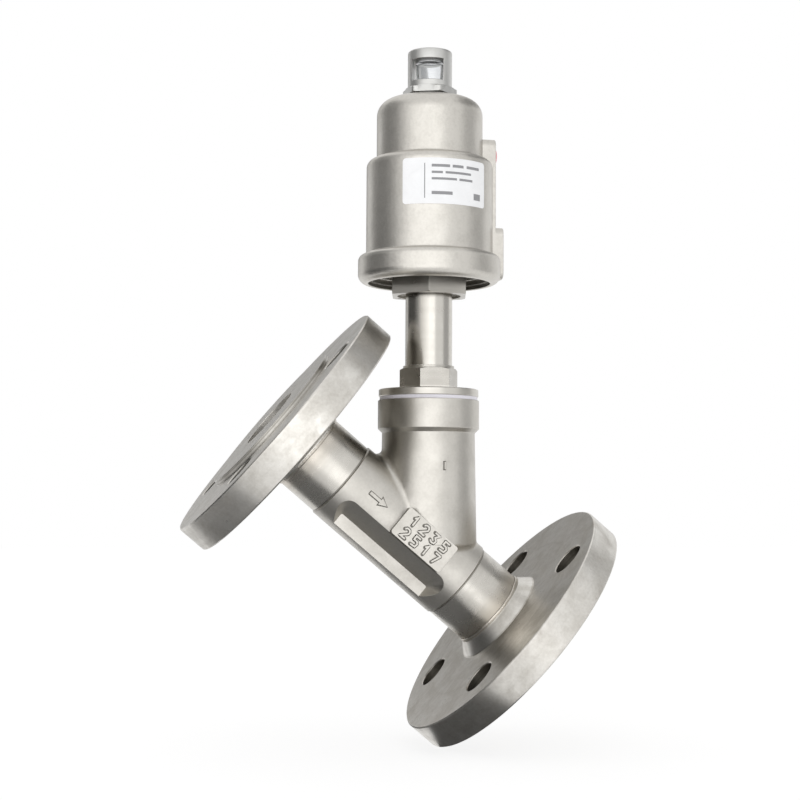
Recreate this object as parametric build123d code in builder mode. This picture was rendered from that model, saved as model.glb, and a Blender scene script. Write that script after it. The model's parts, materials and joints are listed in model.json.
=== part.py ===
from build123d import *
from math import cos, radians, sin, tan
import os

# Flanged angle seat valve with a pneumatic piston actuator, in millimetres.
# The stem stands along +Z and the pipe runs down to the right at an angle, in the XZ plane.
# The origin is the centre of the outlet flange's sealing face.

# Pipe line, measured from the point where the stem's axis crosses the pipe's axis
pipe_angle = 50.0
inlet_length = 84.8
outlet_length = 52.5
bore_diameter = 27.0
passage_diameter = 27.8
pipe_diameter = 33.7

# Flanges
flange_diameter = 115.0
flange_thickness = 12.9
flange_edge = 0.5
face_diameter = 68.0
face_height = 2.0
face_edge = 0.3
bolt_circle_diameter = 85.0
bolt_hole = 14.0
bolt_count = 4
hole_edge = 0.4
hole_turn = 5.0
hub_height = 6.0
hub_diameter = 43.2
weld_bead_height = 1.2
weld_bead_proud = 0.45

# Cast body
barrel_diameter = 34.7
barrel_inlet_end = 48.5
barrel_outlet_end = 15.6
barrel_edge = 0.6
waist_diameter = 24.0
waist_shift = 1.6
waist_margin = 4.2
neck_low_diameter = 40.2
neck_top_diameter = 38.5
neck_bottom = 3.6
neck_bottom_round = 1.6
valley_round = 2.5
collar_diameter = 42.0
collar_height = 11.8
collar_chamfer = 1.7
collar_edge = 0.4
neck_shaft_height = 50.5
chamber_diameter = 31.8
thread_step = 1.5
thread_depth = 13.0
partition_thickness = 3.0
seat_lip_inset = 1.0
seat_lip_width = 2.0
seat_lip_height = 1.5

# Cast details: wrench pockets, marking plates, flow arrow and casting tick
rib_half_thickness = 6.7
pocket_low = 10.9
pocket_start = 39.9
pocket_end = -6.3
pocket_draft = 30.0
pocket_corner = 0.8
plate_length = 26.0
plate_width = 13.0
plate_centre_along = 9.1
plate_centre_across = -1.2
plate_reach = 19.9
plate_corner = 1.2
relief = 0.6
digit_height = 4.0
digit_width = 2.5
digit_stroke = 0.75
digit_pitch = 5.3
row_pitch = 6.0
arrow_length = 8.8
arrow_head = 3.4
arrow_head_width = 3.4
arrow_shaft = 1.3
arrow_centre = 33.6
arrow_across = -1.6
tick_height = 3.1
tick_width = 0.6
tick_centre = 36.7
tick_azimuth = -84.0

# Hexagons
hex_sides = 6
hex_bevel_slope = 30.0

# Bonnet
gasket_thickness = 1.4
gasket_diameter = 40.6
disc_diameter = 41.4
disc_thickness = 3.1
disc_edge = 0.3
hex_across_flats = 21.4
hex_height = 8.8
hex_chamfer = 1.3
hex_bevel_low = 0.2
bonnet_lip_diameter = 21.2
bonnet_lip_height = 1.0
nose_diameter = 19.0
nose_length = 8.0
wiper_height = 1.6
lower_bush_diameter = 13.0
lower_bush_length = 9.0

# Neck tube and packing
tube_diameter = 19.5
tube_bore = 13.6
tube_exposed = 29.3
tube_engagement = 7.6
tube_above_cover = 4.5
packing_washer_thickness = 1.2
packing_spring_length = 10.0
packing_spring_diameter = 12.2
packing_spring_wire = 1.2
packing_spring_turns = 4.5
chevron_count = 5
chevron_pitch = 1.9
chevron_rise = 1.1
chevron_gap = 0.05
gland_length = 6.0
clip_thickness = 1.0
clip_width = 1.6
clip_groove_depth = 0.7
top_bush_length = 9.0
top_bush_setback = 1.0
stem_seal_width = 2.0
stem_seal_depth = 1.4

# Actuator
nut_across_flats = 30.4
nut_height = 9.7
nut_chamfer = 0.7
nut_recess_diameter = 26.4
nut_recess_depth = 1.4
nut_turn = 16.0
pin_circle_diameter = 28.8
pin_hole_diameter = 1.5
pin_hole_depth = 2.0
pin_hole_count = 3
thrust_washer_thickness = 0.6
thrust_washer_diameter = 30.0
cover_thickness = 6.0
cover_seal_width = 2.6
cover_seal_depth = 1.9
skirt_drop = 5.2
skirt_height = 11.9
skirt_round_low = 3.8
skirt_round_top = 2.6
skirt_lip_width = 0.5
skirt_lip_height = 1.9
skirt_lip_edge = 0.3
main_height = 40.1
main_round = 3.5
step_fillet = 0.6
step_flat = 0.1
upper_diameter = 44.4
upper_height = 25.5
top_round = 7.0
cylinder_wall = 2.2
upper_wall = 2.6
upper_bore_drop = 4.2
top_wall = 4.4
snap_ring_thickness = 1.6
snap_ring_width = 3.0
snap_ring_groove = 1.3

# Air port pads on the actuator's side
pad_width = 14.0
pad_corner = 3.0
upper_pad_proud = 0.5
upper_pad_above_step = 9.6
lower_pad_proud = 0.6
lower_pad_above_skirt = 12.4
lower_pad_below_skirt = 9.4
upper_port_above_step = 3.0
lower_port_above_skirt = 8.7
port_drill = 8.8
plug_head_diameter = 11.4
plug_head_height = 1.8
plug_head_round = 1.4
plug_shank_diameter = 8.6
plug_shank_length = 4.5

# Position indicator
hood_turn = -112.0
hood_across_flats = 20.2
hood_hex_height = 3.9
hood_hex_chamfer = 1.0
hood_diameter = 18.6
hood_height = 15.8
hood_edge = 0.7
hood_spigot = 15.0
hood_bore = 12.2
window_above_hex = 2.5
window_height = 8.9
window_width = 13.2
hood_gasket_diameter = 19.4
hood_gasket_thickness = 1.0
dome_diameter = 9.2
dome_wall = 0.9
dome_seat_depth = 3.6
dome_flange_thickness = 1.2
dome_round = 0.8
dome_retainer_thickness = 1.4

# Moving stem, plug and piston
stroke = 9.0
stem_diameter = 8.0
stem_thread = 6.0
seal_thickness = 3.0
seal_proud = 0.6
seal_hole = 10.0
plug_gap = 0.9
plug_top_diameter = 17.0
plug_height = 11.5
plug_rim_height = 5.0
plug_shoulder_height = 5.5
seal_washer_gap = 0.8
seal_washer_thickness = 2.3
plug_nut_across_flats = 10.0
plug_nut_height = 4.5
stem_tail = 1.0
piston_height = 10.0
piston_gap = 14.5
piston_web = 5.5
piston_hub_diameter = 18.0
piston_wall = 5.0
piston_seal_width = 3.0
piston_band_width = 2.6
piston_seal_depth = 2.6
piston_band_depth = 1.4
piston_land = 1.4
piston_o_ring_diameter = 10.6
piston_o_ring_height = 1.5
piston_nut_across_flats = 11.0
piston_nut_height = 5.0
pin_boss_diameter = 9.0
pin_boss_height = 8.0
pin_diameter = 5.6
pin_thread = 4.6
pin_thread_length = 6.0
pin_gap = 0.4
spring_gap = 1.4
spring_wire = 3.4
spring_turns = 6.5

# Rating label
label_start = -128.0
label_end = -46.8
label_height = 18.7
label_below_step = 4.1
label_thickness = 0.2
label_corner = 1.4

# Fits and clearances
sliding_clearance = 0.05
seal_clearance = 0.04
body_clearance = 0.3

# Heights along the stem, each stacked on the piece below it
neck_height = neck_shaft_height + collar_chamfer + collar_height
disc_low = neck_height + gasket_thickness
disc_top = disc_low + disc_thickness
hex_top = disc_top + hex_height
bonnet_top = hex_top + bonnet_lip_height
thread_low = neck_height - thread_depth
nose_low = thread_low - nose_length
tube_low = bonnet_top - tube_engagement
nut_low = bonnet_top + tube_exposed
nut_top = nut_low + nut_height
cover_low = nut_top + thrust_washer_thickness
cover_top = cover_low + cover_thickness
tube_top = cover_top + tube_above_cover
skirt_low = cover_low - skirt_drop
skirt_top = skirt_low + skirt_height
main_top = skirt_top + main_height
housing_top = main_top + upper_height
upper_bore_top = housing_top - top_wall
piston_low = cover_top + piston_gap
piston_top = piston_low + piston_height
hood_low = housing_top + hood_gasket_thickness
hood_hex_top = hood_low + hood_hex_height
hood_top = hood_hex_top + hood_height
window_low = hood_hex_top + window_above_hex
window_high = window_low + window_height

# Radii used in many places
bore_r = bore_diameter / 2
passage_r = passage_diameter / 2
pipe_r = pipe_diameter / 2
barrel_r = barrel_diameter / 2
stem_r = stem_diameter / 2
thread_r = stem_thread / 2
tube_r = tube_diameter / 2
tube_bore_r = tube_bore / 2
chamber_r = chamber_diameter / 2
bonnet_thread_r = chamber_r + thread_step
plug_r = chamber_r - plug_gap
seat_lip_r = plug_r - seat_lip_inset
seat_r = seat_lip_r - seat_lip_width
upper_r = upper_diameter / 2
main_r = upper_r + step_fillet + step_flat + main_round
skirt_r = main_r + step_fillet + step_flat + skirt_round_top
skirt_opening_r = skirt_r - skirt_round_low - skirt_lip_width
cylinder_r = main_r - cylinder_wall
upper_bore_r = upper_r - upper_wall
upper_pad_reach = main_r + upper_pad_proud
lower_pad_reach = skirt_r + lower_pad_proud

# Axes and planes: in a section, local x is the radius or the distance and local y the height
along_inlet = Vector(-sin(radians(pipe_angle)), 0, cos(radians(pipe_angle)))
outlet_face = outlet_length + face_height
inlet_face = inlet_length + face_height
crossing = along_inlet * outlet_face
stem_axis = Axis(crossing, (0, 0, 1))
pipe_axis = Axis(crossing, along_inlet)
stem_section = Plane(origin=crossing, x_dir=(1, 0, 0), z_dir=(0, -1, 0))
pipe_section = Plane(origin=crossing, x_dir=along_inlet, z_dir=(0, -1, 0))
across_down = pipe_section.y_dir


def across_stem(height, turn=0.0):
    """Plane square to the stem at a height, turned about it."""
    turned = Vector(1, 0, 0).rotate(Axis.Z, turn)
    return Plane(origin=crossing + Vector(0, 0, height), x_dir=turned, z_dir=(0, 0, 1))


def across_pipe(distance, turn=0.0):
    """Plane square to the pipe at a distance towards the inlet, turned about it."""
    turned = Vector(0, 1, 0).rotate(Axis((0, 0, 0), along_inlet), turn)
    return Plane(origin=crossing + along_inlet * distance, x_dir=turned, z_dir=along_inlet)


def ring_section(inner, outer, low, high):
    """Half section of a plain ring, for a sketch that is revolved."""
    with Locations(((inner + outer) / 2, (low + high) / 2)):
        Rectangle(outer - inner, high - low)


def plain_ring(label, inner, outer, low, high):
    """A plain turned ring about the stem."""
    with BuildPart() as piece:
        with BuildSketch(stem_section):
            ring_section(inner, outer, low, high)
        revolve(axis=stem_axis)
    finish(piece, label)


def bevelled_hex(across_flats, low, high, bevel_low, bevel_high, turn):
    """Hexagonal prism about the stem whose corners are turned down."""
    corner_r = across_flats / 2 / cos(radians(180 / hex_sides))
    slope = tan(radians(hex_bevel_slope))
    with BuildPart() as prism:
        with BuildSketch(across_stem(low, turn)):
            RegularPolygon(radius=corner_r, side_count=hex_sides)
        extrude(amount=high - low)
        with BuildSketch(stem_section):
            with BuildLine():
                Polyline(
                    (0, low),
                    (corner_r - bevel_low, low),
                    (corner_r, low + bevel_low * slope),
                    (corner_r, high - bevel_high * slope),
                    (corner_r - bevel_high, high),
                    (0, high),
                    close=True,
                )
            make_face()
        revolve(axis=stem_axis, mode=Mode.INTERSECT)
    return prism.part


def coil_spring(label, outer_diameter, wire, turns, low, high):
    """Compression spring with ends ground flat."""
    length = high - low
    with BuildPart() as piece:
        with BuildLine(across_stem(low)) as coil:
            Helix(pitch=length / turns, height=length, radius=(outer_diameter - wire) / 2)
        with BuildSketch(Plane(origin=coil.line @ 0, z_dir=coil.line % 0)):
            Circle(wire / 2)
        sweep(path=coil.line, is_frenet=True)
        with BuildSketch(across_stem(low)):
            Circle(outer_diameter)
        extrude(amount=length, mode=Mode.INTERSECT)
    finish(piece, label)


def finish(piece, label):
    """Name a finished piece and write its file."""
    piece.part.label = label
    export_step(piece.part, f"parts/{label}.step")


os.makedirs("parts", exist_ok=True)


# Flanges: plate, raised face, conical hub and the bead of the butt weld
def flange(label, face, outward):
    """One flange whose sealing face lies at a distance along the pipe."""
    plate_out = face - outward * face_height
    plate_in = plate_out - outward * flange_thickness
    hub_end = plate_in - outward * hub_height
    bead_end = hub_end + outward * weld_bead_height
    bead_r = pipe_r + weld_bead_proud
    with BuildPart() as piece:
        with BuildSketch(pipe_section):
            with BuildLine():
                Polyline(
                    (hub_end, bore_r),
                    (hub_end, bead_r),
                    (bead_end, bead_r),
                    (plate_in, hub_diameter / 2),
                    (plate_in, flange_diameter / 2 - flange_edge),
                    (plate_in + outward * flange_edge, flange_diameter / 2),
                    (plate_out - outward * flange_edge, flange_diameter / 2),
                    (plate_out, flange_diameter / 2 - flange_edge),
                    (plate_out, face_diameter / 2 + face_edge),
                    (face, face_diameter / 2),
                    (face, bore_r),
                    close=True,
                )
            make_face()
        revolve(axis=pipe_axis)
        with BuildSketch(across_pipe(plate_in, hole_turn)):
            with PolarLocations(bolt_circle_diameter / 2, bolt_count, start_angle=180 / bolt_count):
                Circle(bolt_hole / 2)
        extrude(amount=outward * flange_thickness, mode=Mode.SUBTRACT)
        rims = piece.edges().filter_by(GeomType.CIRCLE)
        rims = rims.filter_by(lambda edge: abs(edge.radius - bolt_hole / 2) < 0.01)
        chamfer(rims, hole_edge)
    finish(piece, label)
    return hub_end


inlet_weld = flange("inlet_flange", inlet_face, 1)
outlet_weld = flange("outlet_flange", -outlet_face, -1)


# Marks of the casting: plain numbers as bent strokes, and a flow arrow wrapped onto the barrel
digit_shapes = {
    1: [(-0.3, 0.7), (0.1, 1), (0.1, 0)],
    2: [(-0.5, 0.8), (-0.2, 1), (0.25, 1), (0.5, 0.8), (0.5, 0.6), (-0.5, 0), (0.5, 0)],
    3: [(-0.5, 1), (0.5, 1), (0, 0.6), (0.45, 0.35), (0.35, 0.05), (-0.1, 0), (-0.5, 0.15)],
    5: [(0.5, 1), (-0.4, 1), (-0.4, 0.6), (0.2, 0.6), (0.5, 0.4), (0.4, 0.05), (-0.5, 0)],
    7: [(-0.5, 1), (0.5, 1), (-0.15, 0)],
}
digit_rows = [[1, 2, 3, 5], [2, 5, 1, 7]]
plate_centre = crossing + along_inlet * plate_centre_along + across_down * plate_centre_across


def plate_plane(side, reach):
    """Plane of a marking plate on one side of the body, reading along the flow."""
    outward = Vector(0, side, 0)
    return Plane(origin=plate_centre + outward * reach, x_dir=along_inlet * side, z_dir=outward)


with BuildPart() as flow_arrow:
    arrow_origin = crossing + along_inlet * arrow_centre + across_down * arrow_across
    shaft_end = arrow_length / 2 - arrow_head
    with BuildSketch(Plane(origin=arrow_origin, x_dir=-along_inlet, z_dir=(0, -1, 0))):
        with BuildLine():
            Polyline(
                (-arrow_length / 2, arrow_shaft / 2),
                (shaft_end, arrow_shaft / 2),
                (shaft_end, arrow_head_width / 2),
                (arrow_length / 2, 0),
                (shaft_end, -arrow_head_width / 2),
                (shaft_end, -arrow_shaft / 2),
                (-arrow_length / 2, -arrow_shaft / 2),
                close=True,
            )
        make_face()
    extrude(amount=barrel_diameter)
    with BuildSketch(across_pipe(arrow_centre)):
        Circle(barrel_r + relief)
        Circle(barrel_r - relief, mode=Mode.SUBTRACT)
    extrude(amount=arrow_length, both=True, mode=Mode.INTERSECT)

# Inlet passage down to the seat wall, and outlet passage up to it from below
waist_inlet_end = pocket_start + waist_margin
waist_outlet_end = pocket_end - waist_margin
with BuildPart() as waist:
    waist_centre = crossing + along_inlet * waist_outlet_end - across_down * waist_shift
    with BuildSketch(Plane(origin=waist_centre, z_dir=along_inlet)):
        Circle(waist_diameter / 2)
    extrude(amount=waist_inlet_end - waist_outlet_end)
with BuildPart() as inlet_passage:
    with BuildSketch(across_pipe(inlet_weld)):
        Circle(passage_r)
    extrude(amount=waist_inlet_end - inlet_weld)
    add(waist.part)
    split(bisect_by=across_stem(0), keep=Keep.TOP)
with BuildPart() as outlet_passage:
    with BuildSketch(across_pipe(outlet_weld)):
        Circle(passage_r)
    extrude(amount=waist_outlet_end - outlet_weld)
    add(waist.part)
    split(bisect_by=across_stem(-partition_thickness), keep=Keep.BOTTOM)

# Cast body: pipe barrel, chamber neck and collar, with the seat on the wall between the two bores
with BuildPart() as valve_body:
    # Pipe barrel with turned pipe ends
    with BuildSketch(pipe_section):
        with BuildLine():
            Polyline(
                (inlet_weld, 0),
                (inlet_weld, pipe_r),
                (barrel_inlet_end, pipe_r),
                (barrel_inlet_end, barrel_r - barrel_edge),
                (barrel_inlet_end - barrel_edge, barrel_r),
                (barrel_edge - barrel_outlet_end, barrel_r),
                (-barrel_outlet_end, barrel_r - barrel_edge),
                (-barrel_outlet_end, pipe_r),
                (outlet_weld, pipe_r),
                (outlet_weld, 0),
                close=True,
            )
        make_face()
    revolve(axis=pipe_axis)
    # Chamber neck, slightly conical, and its collar
    with BuildSketch(stem_section):
        with BuildLine():
            FilletPolyline(
                (0, neck_bottom),
                (neck_low_diameter / 2, neck_bottom),
                (neck_top_diameter / 2, neck_shaft_height),
                (collar_diameter / 2, neck_shaft_height + collar_chamfer),
                (collar_diameter / 2, neck_height),
                (0, neck_height),
                radius=[0, neck_bottom_round, collar_edge, collar_edge, collar_edge, 0],
                close=True,
            )
        make_face()
    revolve(axis=stem_axis)
    # Round the valley between the neck and the inlet side of the barrel
    valley = valve_body.edges(Select.LAST)
    valley = valley.filter_by(lambda edge: edge.geom_type not in (GeomType.CIRCLE, GeomType.LINE))
    valley = valley.sort_by(lambda edge: (edge.center() - crossing).dot(along_inlet))
    fillet(valley[-1:], valley_round)
    # Long pockets that leave a straight rib for a wrench, one each side
    for side in (-1, 1):
        pocket_floor = Plane(
            origin=crossing + Vector(0, side * rib_half_thickness, 0),
            x_dir=along_inlet,
            z_dir=(0, side, 0),
        )
        with BuildSketch(pocket_floor):
            with Locations(((pocket_start + pocket_end) / 2, -side * (pocket_low + barrel_r))):
                RectangleRounded(pocket_start - pocket_end, 2 * barrel_r, pocket_corner)
        extrude(amount=barrel_r, taper=-pocket_draft, mode=Mode.SUBTRACT)
    # Marking plates, the near one with plain raised numbers
    for side in (-1, 1):
        with BuildSketch(plate_plane(side, passage_r)):
            RectangleRounded(plate_length, plate_width, plate_corner)
        extrude(amount=plate_reach - passage_r)
    for row, digits in enumerate(digit_rows):
        for column, digit in enumerate(digits):
            left = (column - (len(digits) - 1) / 2) * digit_pitch
            foot = (0.5 - row) * row_pitch - digit_height / 2
            shape = digit_shapes[digit]
            with BuildSketch(plate_plane(-1, plate_reach)):
                with BuildLine():
                    Polyline(*[(left + x * digit_width, foot + y * digit_height) for x, y in shape])
                trace(line_width=digit_stroke)
            extrude(amount=relief)
    add(flow_arrow.part)
    # Small casting tick on the neck
    with BuildSketch(across_stem(tick_centre, tick_azimuth)):
        with Locations(((neck_low_diameter + neck_top_diameter) / 4, 0)):
            Rectangle(2 * relief, tick_width)
    extrude(amount=tick_height / 2, both=True)
    # Inside: passages, chamber, bonnet thread and the raised seat lip
    add(inlet_passage.part, mode=Mode.SUBTRACT)
    add(outlet_passage.part, mode=Mode.SUBTRACT)
    with BuildSketch(stem_section):
        ring_section(0, chamber_r, 0, neck_height)
        ring_section(0, bonnet_thread_r, thread_low, neck_height)
    revolve(axis=stem_axis, mode=Mode.SUBTRACT)
    with BuildSketch(across_stem(-partition_thickness)):
        Circle(seat_lip_r)
    extrude(amount=partition_thickness + seat_lip_height)
    with BuildSketch(across_stem(seat_lip_height)):
        Circle(seat_r)
    extrude(amount=-partition_thickness - seat_lip_height, mode=Mode.SUBTRACT)
finish(valve_body, "valve_body")


# Bonnet, screwed into the collar, with its lower bush and wiper
bush_low = nose_low + wiper_height
bush_high = bush_low + lower_bush_length
bush_r = lower_bush_diameter / 2

bonnet_hex = bevelled_hex(hex_across_flats, disc_top, hex_top, hex_bevel_low, hex_chamfer, 0)

with BuildPart() as bonnet:
    add(bonnet_hex)
    with BuildSketch(stem_section):
        ring_section(0, nose_diameter / 2, nose_low, neck_height)
        ring_section(0, bonnet_thread_r, thread_low, disc_low)
        ring_section(0, disc_diameter / 2, disc_low, disc_top)
        ring_section(0, bonnet_lip_diameter / 2, hex_top, bonnet_top)
    revolve(axis=stem_axis)
    with BuildSketch(stem_section):
        ring_section(0, stem_r + body_clearance, nose_low, bonnet_top)
        ring_section(0, bush_r, nose_low, bush_high)
        ring_section(0, tube_r, tube_low, bonnet_top)
    revolve(axis=stem_axis, mode=Mode.SUBTRACT)
    rims = bonnet.edges().filter_by(GeomType.CIRCLE)
    rims = rims.filter_by(lambda edge: abs(edge.radius - disc_diameter / 2) < 0.01)
    chamfer(rims, disc_edge)
finish(bonnet, "bonnet")

plain_ring("bonnet_gasket", bonnet_thread_r, gasket_diameter / 2, neck_height, disc_low)
plain_ring("stem_wiper", stem_r + seal_clearance, bush_r, nose_low, bush_low)
plain_ring("lower_bush", stem_r + sliding_clearance, bush_r, bush_low, bush_high)

# Neck tube with the spring-loaded stem packing inside it
packing_spring_low = tube_low + packing_washer_thickness
packing_spring_high = packing_spring_low + packing_spring_length
chevron_low = packing_spring_high + packing_washer_thickness
chevron_high = chevron_low + chevron_count * chevron_pitch + chevron_rise
gland_high = chevron_high + gland_length
gland_clip_high = gland_high + clip_thickness
top_bush_high = tube_top - top_bush_setback
top_bush_low = top_bush_high - top_bush_length
tube_clip_high = cover_top + clip_thickness

with BuildPart() as neck_tube:
    with BuildSketch(stem_section):
        ring_section(tube_bore_r, tube_r, tube_low, tube_top)
    revolve(axis=stem_axis)
    with BuildSketch(stem_section):
        ring_section(0, tube_bore_r + clip_groove_depth, gland_high, gland_clip_high)
        ring_section(tube_r - clip_groove_depth, tube_diameter, cover_top, tube_clip_high)
    revolve(axis=stem_axis, mode=Mode.SUBTRACT)
finish(neck_tube, "neck_tube")

with BuildPart() as chevron_packing:
    middle = (stem_r + seal_clearance + tube_bore_r) / 2
    wall = chevron_pitch - chevron_gap
    for index in range(chevron_count):
        level = chevron_low + index * chevron_pitch
        with BuildSketch(stem_section):
            with BuildLine():
                Polyline(
                    (stem_r + seal_clearance, level),
                    (middle, level + chevron_rise),
                    (tube_bore_r, level),
                    (tube_bore_r, level + wall),
                    (middle, level + chevron_rise + wall),
                    (stem_r + seal_clearance, level + wall),
                    close=True,
                )
            make_face()
        revolve(axis=stem_axis)
finish(chevron_packing, "chevron_packing")

packing_bore = stem_r + body_clearance
plain_ring("packing_washer", packing_bore, tube_bore_r, tube_low, packing_spring_low)
plain_ring("packing_support", packing_bore, tube_bore_r, packing_spring_high, chevron_low)
plain_ring("packing_gland", packing_bore, tube_bore_r, chevron_high, gland_high)
clip_r = tube_bore_r + clip_groove_depth
plain_ring("gland_clip", clip_r - clip_width, clip_r, gland_high, gland_clip_high)
clip_r = tube_r - clip_groove_depth
plain_ring("tube_clip", clip_r, clip_r + clip_width, cover_top, tube_clip_high)
coil_spring(
    "packing_spring",
    packing_spring_diameter,
    packing_spring_wire,
    packing_spring_turns,
    packing_spring_low,
    packing_spring_high,
)

stem_seal_low = (top_bush_low + top_bush_high - stem_seal_width) / 2
stem_seal_high = stem_seal_low + stem_seal_width
stem_seal_r = stem_r + stem_seal_depth

with BuildPart() as top_bush:
    with BuildSketch(stem_section):
        ring_section(stem_r + sliding_clearance, tube_bore_r, top_bush_low, top_bush_high)
    revolve(axis=stem_axis)
    with BuildSketch(stem_section):
        ring_section(0, stem_seal_r, stem_seal_low, stem_seal_high)
    revolve(axis=stem_axis, mode=Mode.SUBTRACT)
finish(top_bush, "top_bush")

plain_ring("stem_seal", stem_r + seal_clearance, stem_seal_r, stem_seal_low, stem_seal_high)

# Nut under the actuator, recessed below and with holes for a pin wrench, and the washer above it
neck_hex = bevelled_hex(nut_across_flats, nut_low, nut_top, nut_chamfer, nut_chamfer, nut_turn)

with BuildPart() as neck_nut:
    add(neck_hex)
    with BuildSketch(stem_section):
        ring_section(0, tube_r, nut_low, nut_top)
        ring_section(0, nut_recess_diameter / 2, nut_low, nut_low + nut_recess_depth)
    revolve(axis=stem_axis, mode=Mode.SUBTRACT)
    with BuildSketch(across_stem(nut_low, nut_turn)):
        with PolarLocations(pin_circle_diameter / 2, pin_hole_count):
            Circle(pin_hole_diameter / 2)
    extrude(amount=pin_hole_depth, mode=Mode.SUBTRACT)
finish(neck_nut, "neck_nut")

plain_ring("thrust_washer", tube_r, thrust_washer_diameter / 2, nut_top, cover_low)

# Actuator base cover, with a seal to the housing and one to the neck tube
cover_seal_low = (cover_low + cover_top - cover_seal_width) / 2
cover_seal_high = cover_seal_low + cover_seal_width
outer_groove_r = cylinder_r - cover_seal_depth
inner_groove_r = tube_r + cover_seal_depth

with BuildPart() as base_cover:
    with BuildSketch(stem_section):
        ring_section(tube_r + sliding_clearance, cylinder_r, cover_low, cover_top)
    revolve(axis=stem_axis)
    with BuildSketch(stem_section):
        ring_section(outer_groove_r, skirt_r, cover_seal_low, cover_seal_high)
        ring_section(0, inner_groove_r, cover_seal_low, cover_seal_high)
    revolve(axis=stem_axis, mode=Mode.SUBTRACT)
finish(base_cover, "base_cover")

plain_ring("base_seal", outer_groove_r, cylinder_r, cover_seal_low, cover_seal_high)
tube_seal_r = tube_r + seal_clearance
plain_ring("tube_seal", tube_seal_r, inner_groove_r, cover_seal_low, cover_seal_high)
snap_ring_r = cylinder_r + snap_ring_groove
snap_ring_low = cover_low - snap_ring_thickness
plain_ring("base_snap_ring", snap_ring_r - snap_ring_width, snap_ring_r, snap_ring_low, cover_low)

# Actuator housing, cast with a skirt below, two diameters and pads for the air ports
port_side = Plane(origin=crossing, x_dir=(0, 1, 0), z_dir=(1, 0, 0))
upper_port_height = main_top + upper_port_above_step
lower_port_height = skirt_top + lower_port_above_skirt
pads = [
    (skirt_top, main_top + upper_pad_above_step, upper_pad_reach),
    (skirt_top - lower_pad_below_skirt, skirt_top + lower_pad_above_skirt, lower_pad_reach),
]
ports = [
    ("upper_port_plug", upper_port_height, upper_pad_reach),
    ("lower_port_plug", lower_port_height, lower_pad_reach),
]

housing_rounds = [0, skirt_round_low, skirt_round_top, step_fillet, main_round, step_fillet, top_round, 0]

with BuildPart() as actuator_housing:
    with BuildSketch(stem_section):
        with BuildLine():
            FilletPolyline(
                (0, skirt_low),
                (skirt_r, skirt_low),
                (skirt_r, skirt_top),
                (main_r, skirt_top),
                (main_r, main_top),
                (upper_r, main_top),
                (upper_r, housing_top),
                (0, housing_top),
                radius=housing_rounds,
                close=True,
            )
        make_face()
    revolve(axis=stem_axis)
    for pad_low, pad_high, reach in pads:
        with BuildSketch(port_side.offset(upper_bore_r)):
            with Locations((0, (pad_low + pad_high) / 2)):
                RectangleRounded(pad_width, pad_high - pad_low, pad_corner)
        extrude(amount=reach - upper_bore_r)
    upper_bore_low = main_top - upper_bore_drop
    with BuildSketch(stem_section):
        ring_section(0, skirt_opening_r, skirt_low, skirt_low + skirt_lip_height)
        ring_section(0, cylinder_r, skirt_low, upper_bore_low)
        ring_section(0, snap_ring_r, snap_ring_low, cover_low)
        ring_section(0, upper_bore_r, skirt_low, upper_bore_top)
        ring_section(0, hood_spigot / 2, skirt_low, housing_top)
    revolve(axis=stem_axis, mode=Mode.SUBTRACT)
    for label, port_height, reach in ports:
        with BuildSketch(port_side.offset(reach)):
            with Locations((0, port_height)):
                Circle(port_drill / 2)
        extrude(amount=-reach, mode=Mode.SUBTRACT)
    rim = actuator_housing.edges().filter_by(GeomType.CIRCLE)
    rim = rim.filter_by(lambda edge: abs(edge.radius - skirt_opening_r) < 0.01).sort_by(Axis.Z)
    chamfer(rim[0], skirt_lip_edge)
finish(actuator_housing, "actuator_housing")

# Push-in plugs that close the air ports until the valve is piped
for label, port_height, reach in ports:
    with BuildPart() as port_plug:
        with BuildSketch(port_side.offset(reach)):
            with Locations((0, port_height)):
                Circle(plug_head_diameter / 2)
        extrude(amount=plug_head_height)
        fillet(port_plug.edges().sort_by(Axis.X)[-1], plug_head_round)
        with BuildSketch(port_side.offset(reach)):
            with Locations((0, port_height)):
                Circle(plug_shank_diameter / 2)
        extrude(amount=-plug_shank_length)
    finish(port_plug, label)

# Rating label, a thin curved plate on the main cylinder
with BuildPart() as rating_label:
    label_high = main_top - label_below_step
    start_dir = Vector(1, 0, 0).rotate(Axis.Z, label_start)
    with BuildSketch(Plane(origin=crossing, x_dir=start_dir, z_dir=start_dir.cross(Vector(0, 0, 1)))):
        ring_section(main_r, main_r + label_thickness, label_high - label_height, label_high)
    revolve(axis=stem_axis, revolution_arc=label_end - label_start)
    corners = rating_label.edges().filter_by(lambda edge: edge.length < 2 * label_thickness)
    fillet(corners, label_corner)
finish(rating_label, "rating_label")

# Indicator hood: hexagon, drum with a window through it and a threaded spigot
dome_flange_high = window_low - dome_seat_depth
dome_flange_low = dome_flange_high - dome_flange_thickness
retainer_low = dome_flange_low - dome_retainer_thickness
dome_r = dome_diameter / 2

hex_turn = hood_turn + 180 / hex_sides
hood_hex = bevelled_hex(hood_across_flats, hood_low, hood_hex_top, hex_bevel_low, hood_hex_chamfer, hex_turn)

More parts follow.
